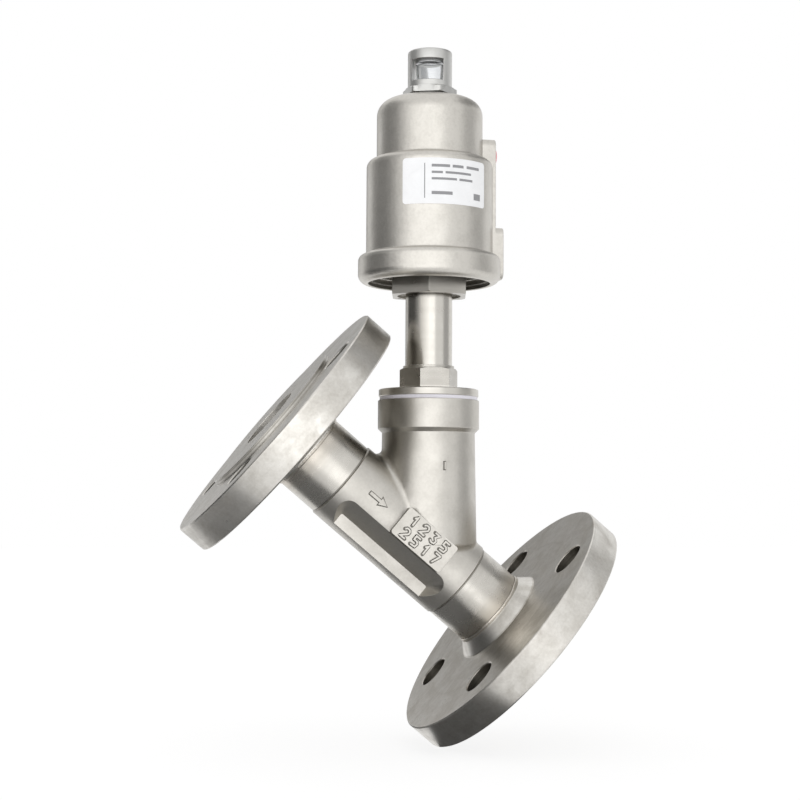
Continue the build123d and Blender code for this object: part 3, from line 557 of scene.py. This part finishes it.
materials = {
    "cast_steel": steel(
        "bead-blasted casting",
        mottling=1.5,
        grain_size=0.7,
        grain_depth=0.008,
        roughness=0.4,
        turned_about=pipe_line,
        pitch=0.3,
        turning_depth=0.0006,
        machined_bands=pipe_ends,
        # painted shadow lines at the pipe's steps
        step_shadow_bands=step_shadow_lines,
        # painted shade on the walls of the plate and its marks
        plate=(plate_middle, *plate_half),
        # painted shade on the neck's flank towards the inlet
        painted_shades=(flank_shade,),
        weld_distances=(inlet_weld, outlet_weld),
        weld_reach=8.0,
    ),
    "flange_steel": steel(
        "turned flange",
        colour=(0.74, 0.72, 0.68, 1),
        grain_size=0.5,
        grain_depth=0.004,
        mottling=1.5,
        # painted shade in the bolt holes and at the raised face's step
        painted_hole_shade=0.75,
        turned_about=pipe_line,
        pitch=0.35,
        turning_depth=0.003,
        roughness=0.33,
        patch=11.0,
        clouds=0.5,
        edge_width=0.35,
        shade=(0.43, 0.405, 0.36, 1),
        # painted shade on both flange plates, inside the rim
        painted_shade_bands=((-2, 15.5), (125, 138)),
    ),
    "machined_steel": steel(
        "machined steel",
        turned_about=stem_line,
        pitch=0.22,
        roughness=0.3,
        clouds=0.2,
        # painted shade on the neck nut and the bonnet's hexagon
        painted_shades=(nut_shade, hexagon_shade),
    ),
    "tube_steel": steel(
        "polished tube",
        turned_about=stem_line,
        pitch=0.5,
        turning_depth=0.001,
        roughness=0.23,
        # painted dark reflection on the tube's flank towards the inlet
        painted_shades=(tube_shade,),
        roughness_spread=0.03,
        clouds=0.12,
    ),
    "housing_steel": steel(
        "bead-blasted housing",
        mottling=2.2,
        grain_size=0.7,
        grain_depth=0.015,
        # painted shade in the mouth of the skirt
        painted_shades=(mouth_shade,),
        roughness=0.38,
        clouds=0.16,
        patch=20.0,
    ),
    "hood_steel": steel(
        "smooth hood",
        colour=(0.6, 0.6, 0.585, 1),
        grain_size=0.5,
        grain_depth=0.004,
        roughness=0.4,
        clouds=0.15,
    ),
    "stem_steel": steel(
        "ground stem",
        turned_about=stem_line,
        pitch=0.15,
        turning_depth=0.001,
        roughness=0.12,
        roughness_spread=0.03,
        clouds=0.1,
    ),
    "spring_steel": steel(
        "drawn wire",
        grain_size=0.25,
        roughness=0.26,
        patch=5.0,
    ),
    "piston_metal": steel(
        "turned piston metal",
        colour=(0.74, 0.75, 0.76, 1),
        shade=(0.55, 0.56, 0.57, 1),
        turned_about=stem_line,
        pitch=0.25,
        roughness=0.3,
        # painted shade in the mouth of the skirt
        painted_shades=(mouth_shade,),
    ),
    "bearing_metal": steel(
        "bearing bronze",
        colour=(0.68, 0.46, 0.2, 1),
        shade=(0.45, 0.28, 0.12, 1),
        grain_size=0.3,
        grain_depth=0.01,
        roughness=0.35,
    ),
    "gasket_white": moulded("white gasket", (0.8, 0.78, 0.84, 1), roughness=0.45),
    "packing_white": moulded("white packing", (0.82, 0.82, 0.8, 1), roughness=0.4),
    "bearing_plastic": moulded("dark bearing plastic", (0.035, 0.035, 0.035, 1)),
    "seal_rubber": moulded(
        "seal rubber",
        (0.014, 0.014, 0.014, 1),
        roughness=0.5,
        grain_depth=0.02,
    ),
    "clear_plastic": moulded(
        "clear dome",
        (0.97, 0.98, 0.99, 1),
        roughness=0.08,
        grain_depth=0.001,
        Transmission_Weight=1.0,
        IOR=1.45,
    ),
    "pin_plastic": moulded("red pin", (0.55, 0.03, 0.02, 1), roughness=0.32, Coat_Weight=0.3),
    "plug_plastic": moulded(
        "pink plug",
        (0.86, 0.42, 0.46, 1),
        roughness=0.3,
        Subsurface_Weight=0.3,
        Subsurface_Scale=0.002,
        Coat_Weight=0.2,
    ),
    "label_film": moulded(
        "label film",
        (0.93, 0.935, 0.945, 1),
        roughness=0.3,
        grain_depth=0.002,
        Coat_Weight=0.25,
    ),
    "weld_bead": steel(
        "weld bead",
        colour=(0.6, 0.57, 0.52, 1),
        grain_size=0.4,
        grain_depth=0.004,
        roughness=0.3,
        patch=5.0,
        weld_distances=(inlet_weld, outlet_weld),
        weld_reach=4.0,
    ),
    # Painted shadow for the dark slopes round the raised marks
    "mark_shadow": steel(
        "painted shadow round raised marks",
        colour=(0.2, 0.19, 0.17, 1),
        shade=(0.12, 0.11, 0.1, 1),
        grain_size=0.4,
        roughness=0.5,
    ),
    "label_ink": moulded("grey label ink", (0.3, 0.3, 0.31, 1), grain_depth=0.001),
}

for part in frame["record"]["subparts"]:
    cad_node = frame["nodes"][part["node"]]
    cad_node.data.materials.clear()
    cad_node.data.materials.append(materials[part["material_slot"]])


# Pieces that a plain solid can't show: weld beads, painted shadows round the raised marks, an open
# snap ring, ribbed plugs, a spring, the crisp indicator and the label's bars


def add_piece(name, shell, body, slot, look=None, node=None, smooth_angle=40):
    """Make a piece from points and faces; it rides on a body and may stand for a CAD node.

    It has the material of its slot, unless it has a look of its own.
    """
    points, faces = shell
    mesh = bpy.data.meshes.new(name)
    mesh.from_pydata(points, [], faces)
    skin = bmesh.new()
    skin.from_mesh(mesh)
    bmesh.ops.recalc_face_normals(skin, faces=skin.faces)
    skin.to_mesh(mesh)
    skin.free()
    mesh.shade_smooth()
    mesh.set_sharp_from_angle(angle=radians(smooth_angle))
    mesh.materials.append(materials[look or slot])
    piece = bpy.data.objects.new(name, mesh)
    bpy.context.scene.collection.objects.link(piece)
    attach(piece, body)
    if node:
        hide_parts(node)
    return piece


def on_stem(radius, turn, height):
    """A place at a radius from the stem's axis, at a turn and a height in millimetres."""
    return Vector((crossing.x / mm + radius * cos(turn), radius * sin(turn), height)) * mm


def ring_faces(ring_count, size, closed=False):
    """Faces that join rings of points one after another, with end caps where the row is open."""
    faces = []
    for ring in range(ring_count if closed else ring_count - 1):
        here, there = ring * size, (ring + 1) % ring_count * size
        for index in range(size):
            other = (index + 1) % size
            faces.append((here + index, here + other, there + other, there + index))
    if not closed:
        faces.append(tuple(reversed(range(size))))
        faces.append(tuple((ring_count - 1) * size + index for index in range(size)))
    return faces


def join_shells(shells):
    """One list of points and one of faces from several shells."""
    points, faces = [], []
    for shell_points, shell_faces in shells:
        first = len(points)
        points.extend(shell_points)
        faces.extend(tuple(first + index for index in face) for face in shell_faces)
    return points, faces


def weld_bead(name, distance):
    """Rippled bead of a butt weld round the pipe, its edges sunk into the metal."""
    pipe_radius, sunk, width, height = 17.15, 0.12, 1.6, 0.3
    steps, sides = 300, 9
    points = []
    for step in range(steps):
        turn = tau * step / steps
        outward = Vector((0, 1, 0)) * cos(turn) + across_pipe * sin(turn)
        sway = 0.06 * sin(5 * turn) + 0.04 * sin(13 * turn + 1)
        for side in range(sides):
            share = 2 * side / (sides - 1) - 1
            crown = (1 - share * share) ** 0.7
            ripple = 1 + 0.07 * cos(64 * turn - 2.4 * share * share) + 0.04 * sin(23 * turn)
            reach = pipe_radius - sunk + height * crown * ripple
            along = distance + share * width / 2 + sway
            points.append((along_inlet * along + outward * reach) * mm)
    bead = points, ring_faces(steps, sides, closed=True)
    add_piece(name, bead, "valve", "flange_steel", look="weld_bead", smooth_angle=70)


def painted_mark_shadows():
    """Painted shadows: dark low slopes round the raised numbers, the flow arrow and the tick."""
    shapes = {
        1: [(-0.3, 0.7), (0.1, 1), (0.1, 0)],
        2: [(-0.5, 0.8), (-0.2, 1), (0.25, 1), (0.5, 0.8), (0.5, 0.6), (-0.5, 0), (0.5, 0)],
        3: [(-0.5, 1), (0.5, 1), (0, 0.6), (0.45, 0.35), (0.35, 0.05), (-0.1, 0), (-0.5, 0.15)],
        5: [(0.5, 1), (-0.4, 1), (-0.4, 0.6), (0.2, 0.6), (0.5, 0.4), (0.4, 0.05), (-0.5, 0)],
        7: [(-0.5, 1), (0.5, 1), (-0.15, 0)],
    }
    digit_width, digit_height, digit_pitch, row_pitch = 2.5, 4.0, 5.3, 6.0
    plate_face, barrel_radius, neck_radius = 19.9, 17.35, 19.68
    arrow_distance, arrow_aside = crossing_distance + 33.6, 1.6
    tick_turn, tick_height = radians(-84.0), 36.7
    low, rise = -0.05, 0.14
    points, faces = [], []

    def on_plate(across, up, height):
        """A place above the plate's face; across runs with the flow and up is square to it."""
        side = plate_middle - along_inlet * across - across_pipe * up
        return side + Vector((0, -plate_face - height, 0))

    def on_barrel(across, up, height):
        """A place above the round barrel, about the middle of the flow arrow."""
        reach = barrel_radius + height
        aside = arrow_aside + up
        side = along_inlet * (arrow_distance - across) - across_pipe * aside
        return side + Vector((0, -((reach * reach - aside * aside) ** 0.5), 0))

    def on_neck(across, up, height):
        """A place above the round neck, about the middle of the casting tick."""
        turn = tick_turn + across / neck_radius
        middle_line = crossing / mm + Vector((0, 0, tick_height + up))
        return middle_line + Vector((cos(turn), sin(turn), 0)) * (neck_radius + height)

    def low_slope(place_at, foot, top):
        """A flat-topped slope between two outlines with the same number of corners."""
        first, count = len(points), len(foot)
        points.extend(place_at(across, up, low) * mm for across, up in foot)
        points.extend(place_at(across, up, rise) * mm for across, up in top)
        for index in range(count):
            after = (index + 1) % count
            side = (index, after, count + after, count + index)
            faces.append(tuple(first + corner for corner in side))
        faces.append(tuple(first + count + index for index in range(count)))

    def stroke(start, end, half):
        """Outline of a stroke with round ends."""
        ahead = (end - start).normalized()
        aside = Vector((-ahead.y, ahead.x))
        outline = []
        for place, turn_start in ((start, 0), (end, 180)):
            for step in range(9):
                turn = radians(turn_start + 22.5 * step)
                corner = place + half * (aside * cos(turn) - ahead * sin(turn))
                outline.append((corner.x, corner.y))
        return outline

    def arrow(shaft_half, head_half, tail, neck, tip):
        """Outline of the arrow, cut into parts that bend round the barrel."""
        shaft = [(tail, -shaft_half), (neck, -shaft_half), (neck, shaft_half), (tail, shaft_half)]
        head = [(neck, -head_half), (tip, 0), (neck, head_half)]
        return shaft, head

    for row, digits in enumerate(((1, 2, 3, 5), (2, 5, 1, 7))):
        for column, digit in enumerate(digits):
            left = (column - 1.5) * digit_pitch
            foot = (0.5 - row) * row_pitch - digit_height / 2
            line = [
                Vector((left + x * digit_width, foot + y * digit_height)) for x, y in shapes[digit]
            ]
            for start, end in zip(line, line[1:]):
                low_slope(on_plate, stroke(start, end, 0.82), stroke(start, end, 0.6))
    outer = arrow(1.05, 2.5, -4.75, 0.62, 5.2)
    inner = arrow(0.85, 2.1, -4.6, 0.8, 4.9)
    for foot, top in zip(outer, inner):
        low_slope(on_barrel, foot, top)
    tick = ((-1, -1), (1, -1), (1, 1), (-1, 1))
    tick_foot = [(0.58 * x, 1.87 * y) for x, y in tick]
    tick_top = [(0.5 * x, 1.8 * y) for x, y in tick]
    low_slope(on_neck, tick_foot, tick_top)
    marks = points, faces
    add_piece("painted_mark_shadows", marks, "valve", "cast_steel", look="mark_shadow", smooth_angle=20)


def open_snap_ring():
    """Snap ring with a gap and two eyes for the pliers, in place of the plain closed ring."""
    low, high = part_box("base_snap_ring")
    clearance, rim = 0.00005, 0.00012
    outer = (high.x - low.x) / 2
    middle_z = (low.z + high.z) / 2
    half = (high.z - low.z) / 2 - clearance
    gap_turn, gap_half = radians(-150), radians(11)
    end_width, belly, eye, eye_share = 0.0021, 0.0012, 0.0022, 0.022
    steps = 160
    points = []
    for step in range(steps + 1):
        share = step / steps
        turn = gap_turn + gap_half + share * (tau - 2 * gap_half)
        near_end = max(0.0, 1 - min(share, 1 - share) / eye_share)
        width = end_width + belly * sin(radians(180) * share) + eye * near_end ** 0.4
        inner = outer - width
        section = [
            (outer, -half + rim),
            (outer, half - rim),
            (outer - rim, half),
            (inner + rim, half),
            (inner, half - rim),
            (inner, -half + rim),
            (inner + rim, -half),
            (outer - rim, -half),
        ]
        for radius, rise in section:
            points.append((crossing.x + radius * cos(turn), radius * sin(turn), middle_z + rise))
    ring = points, ring_faces(steps + 1, len(section))
    add_piece("open_snap_ring", ring, "actuator", "spring_steel", node="base_snap_ring")


def soft_closing_spring():
    """Closing spring, a plain coil that rides with the stem."""
    low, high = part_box("closing_spring")
    wire, turns, sides, steps = 3.4, 6.5, 16, 520
    reach = (high.x - low.x) / 2 / mm - wire / 2
    foot, top = low.z / mm, high.z / mm
    points = []
    for step in range(steps + 1):
        share = step / steps
        turn = tau * turns * share
        height = foot + wire / 2 + share * (top - foot - wire)
        for side in range(sides):
            lean = tau * side / sides
            out, up = wire / 2 * cos(lean), wire / 2 * sin(lean)
            points.append(on_stem(reach + out, turn, height + up))
    coil = points, ring_faces(steps + 1, sides)
    spring = add_piece("soft_closing_spring", coil, "stem", "spring_steel", node="closing_spring")
    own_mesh(spring)


def port_plug(name, node, cap_radius, cap_height):
    """Moulded push-in plug: a shank that fills the port, and a small ribbed cap with a dimple."""
    low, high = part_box(node)
    centre_y, centre_z = (low.y + high.y) / 2 / mm, (low.z + high.z) / 2 / mm
    cad_cap = 1.8
    face = high.x / mm - cad_cap
    shank = (high.x - low.x) / mm - cad_cap
    # Each line is a distance out from the pad's face, a radius and the depth of the ribs
    profile = [
        (-shank, 3.4, 0.0),
        (-shank, 3.8, 0.0),
        (-shank + 0.5, 4.28, 0.0),
        (-0.45, 4.28, 0.0),
        (-0.3, 4.15, 0.0),
        (-0.3, cap_radius + 0.15, 0.0),
        (-0.15, cap_radius, 0.05),
        (0.45 * cap_height, cap_radius, 0.16),
        (0.75 * cap_height, 0.93 * cap_radius, 0.12),
        (0.92 * cap_height, 0.8 * cap_radius, 0.04),
        (0.99 * cap_height, 0.62 * cap_radius, 0.0),
        (0.99 * cap_height, 0.42 * cap_radius, 0.0),
        (0.8 * cap_height, 0.33 * cap_radius, 0.0),
        (0.75 * cap_height, 0.05 * cap_radius, 0.0),
    ]
    sides, ribs = 96, 24
    points = []
    for along, radius, rib in profile:
        for side in range(sides):
            turn = tau * side / sides
            reach = radius - rib * (0.5 - 0.5 * cos(ribs * turn))
            place = (face + along, centre_y + reach * cos(turn), centre_z + reach * sin(turn))
            points.append(Vector(place) * mm)
    plug = points, ring_faces(len(profile), sides)
    add_piece(name, plug, "actuator", "plug_plastic", node=node)


# Indicator: hexagon, drum with a window between two posts, black gasket ring and clear dome
hood_turn = radians(-112.0)
hood_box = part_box("indicator_hood")
hood_top = hood_box[1].z / mm - 0.01
window_high = hood_top - 4.4
window_low = window_high - 8.9
hood_hex_top = hood_top - 15.8
hood_foot = hood_hex_top - 2.9


def turned_shell(profile):
    """A closed turned shape; its profile runs from one end on the axis to the other."""
    sides = 128
    turns = [tau * side / sides for side in range(sides)]
    points = [on_stem(radius, turn, height) for radius, height in profile for turn in turns]
    return points, ring_faces(len(profile), sides)


def hollow_shell(levels, hole):
    """Shell with a round hole; a level is a height and a radius, or a radius for each turn."""
    sides = 144
    turns = [tau * side / sides for side in range(sides)]
    levels = levels + [(levels[-1][0], hole), (levels[0][0], hole)]
    points = [
        on_stem(radius(turn) if callable(radius) else radius, turn, height)
        for height, radius in levels
        for turn in turns
    ]
    return points, ring_faces(len(levels), sides, closed=True)


def window_hood():
    """Hood with a crisp hexagon, a drum and two posts beside the window."""
    apothem, corner = 10.1, 11.45
    drum_radius, bore, spigot_radius, spigot_bore = 9.3, 4.9, 7.3, 6.3
    post_inside, post_half_angle, post_steps = 6.62, 44.8, 24

    def hex_radius(clip):
        """Radius of the hexagon at a turn, with its corners turned down to a radius."""

        def radius_at(turn):
            aside = (turn - hood_turn + radians(30)) % radians(60) - radians(30)
            return min(apothem / cos(aside), clip)

        return radius_at

    hexagon = [
        (hood_foot, hex_radius(11.1)),
        (hood_foot + 0.25, hex_radius(corner)),
        (hood_hex_top - 0.55, hex_radius(corner)),
        (hood_hex_top, hex_radius(10.25)),
    ]
    drum = [(hood_hex_top - 0.2, drum_radius), (window_low - 0.15, drum_radius), (window_low, 9.15)]
    spigot = [(hood_box[0].z / mm, spigot_radius), (hood_foot + 0.1, spigot_radius)]
    shells = [hollow_shell(levels, bore) for levels in (hexagon, drum)]
    shells.append(hollow_shell(spigot, spigot_bore))
    for side in (0, 180):
        post_turn = radians(90 + side)
        arc = [
            hood_turn + radians(90 + side + post_half_angle * (2 * step / post_steps - 1))
            for step in range(post_steps + 1)
        ]
        inner = [(post_inside / cos(turn - hood_turn - post_turn), turn) for turn in reversed(arc)]
        outline = [(drum_radius, turn) for turn in arc] + inner
        levels = (window_low - 0.1, window_high + 0.1)
        points = [on_stem(radius, turn, height) for height in levels for radius, turn in outline]
        shells.append((points, ring_faces(len(levels), len(outline))))
    top = [
        (0.05, window_high),
        (9.05, window_high),
        (drum_radius, window_high + 0.2),
        (drum_radius, hood_top - 0.8),
        (9.18, hood_top - 0.35),
        (8.9, hood_top - 0.08),
        (8.5, hood_top),
        (0.05, hood_top),
    ]
    shells.append(turned_shell(top))
    hood = join_shells(shells)
    add_piece("window_hood", hood, "actuator", "hood_steel", node="indicator_hood", smooth_angle=32)


def clear_window_dome():
    """Clear dome that fills the window between the posts, with a thick wall."""
    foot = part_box("clear_dome")[0].z / mm
    profile = [
        (0.05, window_high - 0.06),
        (4.9, window_high - 0.06),
        (5.7, window_high - 0.25),
        (6.1, window_high - 0.8),
        (6.15, window_low + 0.6),
        (6.0, window_low + 0.06),
        (4.55, window_low + 0.04),
        (4.55, foot + 1.2),
        (6.0, foot + 1.1),
        (6.0, foot + 0.05),
        (3.8, foot + 0.05),
        (3.8, window_low + 0.4),
        (4.75, window_low + 0.9),
        (4.75, window_high - 1.6),
        (4.3, window_high - 1.25),
        (0.05, window_high - 1.2),
    ]
    dome = turned_shell(profile)
    add_piece(
        "clear_window_dome", dome, "actuator", "clear_plastic", node="clear_dome", smooth_angle=50
    )


def hood_seal_ring():
    """Black gasket squeezed out a little between the hood and the housing."""
    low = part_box("hood_gasket")[0].z / mm
    middle = (low + hood_foot) / 2
    levels = [(low + 0.01, 9.6), (middle - 0.4, 9.95)]
    levels += [(middle + 0.4, 9.95), (hood_foot - 0.01, 9.7)]
    seal = hollow_shell(levels, 7.4)
    add_piece(
        "hood_seal_ring", seal, "actuator", "seal_rubber", node="hood_gasket", smooth_angle=50
    )


def label_print():
    """Plain grey bars on the label, in place of print."""
    low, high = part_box("rating_label")
    label_low, label_high = low.z / mm, high.z / mm
    housing_radius, film = 26.4, 0.2
    radius = housing_radius + film
    start, end = -128.0, -46.8
    # Each bar: where it starts and ends across the label, and its lower and upper height on it
    bars = [
        (0.24, 0.25, 0.12, 0.88),
        (0.32, 0.52, 0.8, 0.86),
        (0.55, 0.68, 0.8, 0.86),
        (0.72, 0.9, 0.8, 0.86),
        (0.32, 0.44, 0.66, 0.71),
        (0.47, 0.78, 0.66, 0.71),
        (0.32, 0.6, 0.52, 0.57),
        (0.63, 0.8, 0.52, 0.57),
        (0.32, 0.55, 0.2, 0.27),
        (0.82, 0.92, 0.14, 0.28),
    ]
    sunk, proud, slices = 0.02, 0.035, 10
    shells = []
    for across_start, across_end, rise_start, rise_end in bars:
        foot, top = (label_low + rise * (label_high - label_low) for rise in (rise_start, rise_end))
        section = [(radius - sunk, foot), (radius + proud, foot)]
        section += [(radius + proud, top), (radius - sunk, top)]
        points = []
        for index in range(slices + 1):
            share = across_start + (across_end - across_start) * index / slices
            turn = radians(start + (end - start) * share)
            points.extend(on_stem(reach, turn, height) for reach, height in section)
        shells.append((points, ring_faces(slices + 1, len(section))))
    add_piece("label_print", join_shells(shells), "actuator", "label_film", look="label_ink")


weld_bead("inlet_weld_bead", inlet_weld + 0.4)
weld_bead("outlet_weld_bead", outlet_weld - 0.4)
painted_mark_shadows()
open_snap_ring()
port_plug("upper_ribbed_plug", "upper_port_plug", 4.0, 1.75)
port_plug("lower_ribbed_plug", "lower_port_plug", 2.9, 1.0)
soft_closing_spring()
window_hood()
clear_window_dome()
hood_seal_ring()
label_print()


# Studio: pale floor, white surroundings, one soft key light, and dark and grey cards that the
# metal reflects


def stage_plane(name, place, size, facing, material):
    """A flat card or floor that isn't part of the valve."""
    wide, tall = size[0] / 2, size[1] / 2
    mesh = bpy.data.meshes.new(name)
    corners = [(-wide, -tall, 0), (wide, -tall, 0), (wide, tall, 0), (-wide, tall, 0)]
    mesh.from_pydata(corners, [], [(0, 1, 2, 3)])
    card = bpy.data.objects.new(name, mesh)
    card.location = place
    card.rotation_mode = "QUATERNION"
    card.rotation_quaternion = Vector(facing).to_track_quat("Z", "Y")
    mesh.materials.append(material)
    bpy.context.scene.collection.objects.link(card)
    return card


def bare_material(name):
    """A material without nodes; returns it and its tree."""
    material = bpy.data.materials.new(name)
    material.use_nodes = True
    material.node_tree.nodes.clear()
    return material, material.node_tree


def card_material(name, strength):
    """A card that shines evenly."""
    material, tree = bare_material(name)
    glow = new_node(tree, "ShaderNodeEmission", {"Color": white, "Strength": strength}).outputs[0]
    new_node(tree, "ShaderNodeOutputMaterial", {0: glow})
    return material


def floor_material():
    """Pale floor that shows white to the camera, keeps a soft shadow and is clear from below."""
    material, tree = bare_material("pale floor")
    matte = new_node(tree, "ShaderNodeBsdfDiffuse", {"Color": (0.9, 0.9, 0.9, 1)}).outputs[0]
    glow = new_node(tree, "ShaderNodeEmission", {"Color": white, "Strength": 1.08}).outputs[0]
    clear = new_node(tree, "ShaderNodeBsdfTransparent").outputs[0]
    seen = new_node(tree, "ShaderNodeLightPath").outputs["Is Camera Ray"]
    share = calculate(tree, "MULTIPLY", seen, 0.75)
    both = new_node(tree, "ShaderNodeMixShader", {0: share, 1: matte, 2: glow}).outputs[0]
    from_below = new_node(tree, "ShaderNodeNewGeometry").outputs["Backfacing"]
    shown = new_node(tree, "ShaderNodeMixShader", {0: from_below, 1: both, 2: clear}).outputs[0]
    new_node(tree, "ShaderNodeOutputMaterial", {0: shown})
    return material


white = (1, 1, 1, 1)
upward = (0, 0, 1)
floor_height = cad_box[0].z - 0.0005
floor = stage_plane("floor", (0, 0, floor_height), (6, 6), upward, floor_material())
floor.visible_glossy = False

# Cards are placed by the direction that they are seen in from the valve
middle = (cad_box[0] + cad_box[1]) / 2


def seen_from_valve(azimuth, elevation, distance):
    """A place in a direction from the valve's middle, in degrees from +X and above the horizon."""
    turn, rise = radians(azimuth), radians(elevation)
    return middle + distance * Vector((cos(turn) * cos(rise), sin(turn) * cos(rise), sin(rise)))


def reflection_card(name, place, size, facing, strength):
    """A card that only the metal's reflections show."""
    card = stage_plane(name, place, size, facing, card_material(name, strength))
    card.visible_camera = card.visible_diffuse = card.visible_shadow = False


def card_round_valve(name, azimuth, elevation, distance, size, strength):
    """A reflection card that faces the valve, in the direction that it is seen in from there."""
    place = seen_from_valve(azimuth, elevation, distance)
    reflection_card(name, place, size, middle - place, strength)


table_place = (-0.135, -0.01, floor_height + 0.0002)
under_outlet = (-0.024, -0.037, floor_height + 0.0003)
reflection_card("table card", table_place, (0.17, 0.2), upward, 0.17)
reflection_card("table card under outlet", under_outlet, (0.06, 0.06), upward, 0.09)
card_round_valve("dark card left", 168, -12, 1.1, (1.69, 0.9), 0.05)
card_round_valve("dark card low left", -165, -52, 1.2, (0.6, 0.4), 0.05)
card_round_valve("grey card upper left", 160, 30, 1.1, (1.2, 0.8), 0.3)
card_round_valve("grey card behind", 92, 16, 1.2, (0.6, 0.6), 0.38)
card_round_valve("grey card right", -8, 5, 1.3, (0.9, 0.9), 0.5)
card_round_valve("grey card upper right", 15, 44, 1.3, (1.4, 0.6), 0.25)

world = bpy.data.worlds.new("white room")
bpy.context.scene.world = world
world.use_nodes = True
sky = world.node_tree
sky.nodes.clear()
rays = new_node(sky, "ShaderNodeLightPath").outputs
seen = calculate(sky, "MAXIMUM", rays["Is Camera Ray"], rays["Is Glossy Ray"])
seen = calculate(sky, "MAXIMUM", seen, rays["Is Transmission Ray"])
strength = spread(sky, seen, 0.0, 1.0, 0.9, 1.0)
glow = new_node(sky, "ShaderNodeBackground", {"Color": white, "Strength": strength}).outputs[0]
new_node(sky, "ShaderNodeOutputWorld", {0: glow})


def soft_light(name, azimuth, elevation, distance, size, power):
    """A square softbox aimed at the valve."""
    data = bpy.data.lights.new(name, "AREA")
    data.shape = "RECTANGLE"
    data.size, data.size_y = size
    data.energy = power
    lamp = bpy.data.objects.new(name, data)
    lamp.location = seen_from_valve(azimuth, elevation, distance)
    lamp.rotation_mode = "QUATERNION"
    lamp.rotation_quaternion = (lamp.location - middle).to_track_quat("Z", "Y")
    lamp.visible_camera = False
    bpy.context.scene.collection.objects.link(lamp)


soft_light("key softbox", -109, 2, 1.3, (1.89, 1.2), 5.5)

# Camera, at the photograph's distance and angle
camera_data = bpy.data.cameras.new("camera")
camera_data.sensor_width = 36.0
camera_data.lens = 72.54
camera_data.clip_start = 0.01
camera = bpy.data.objects.new("camera", camera_data)
camera.location = crossing + Vector((-160.93, -648.79, 20.52)) * mm
camera.rotation_euler = Euler((radians(93.746), radians(-0.322), radians(-12.937)))
bpy.context.scene.collection.objects.link(camera)
bpy.context.scene.camera = camera
bpy.context.scene.view_settings.view_transform = "Standard"
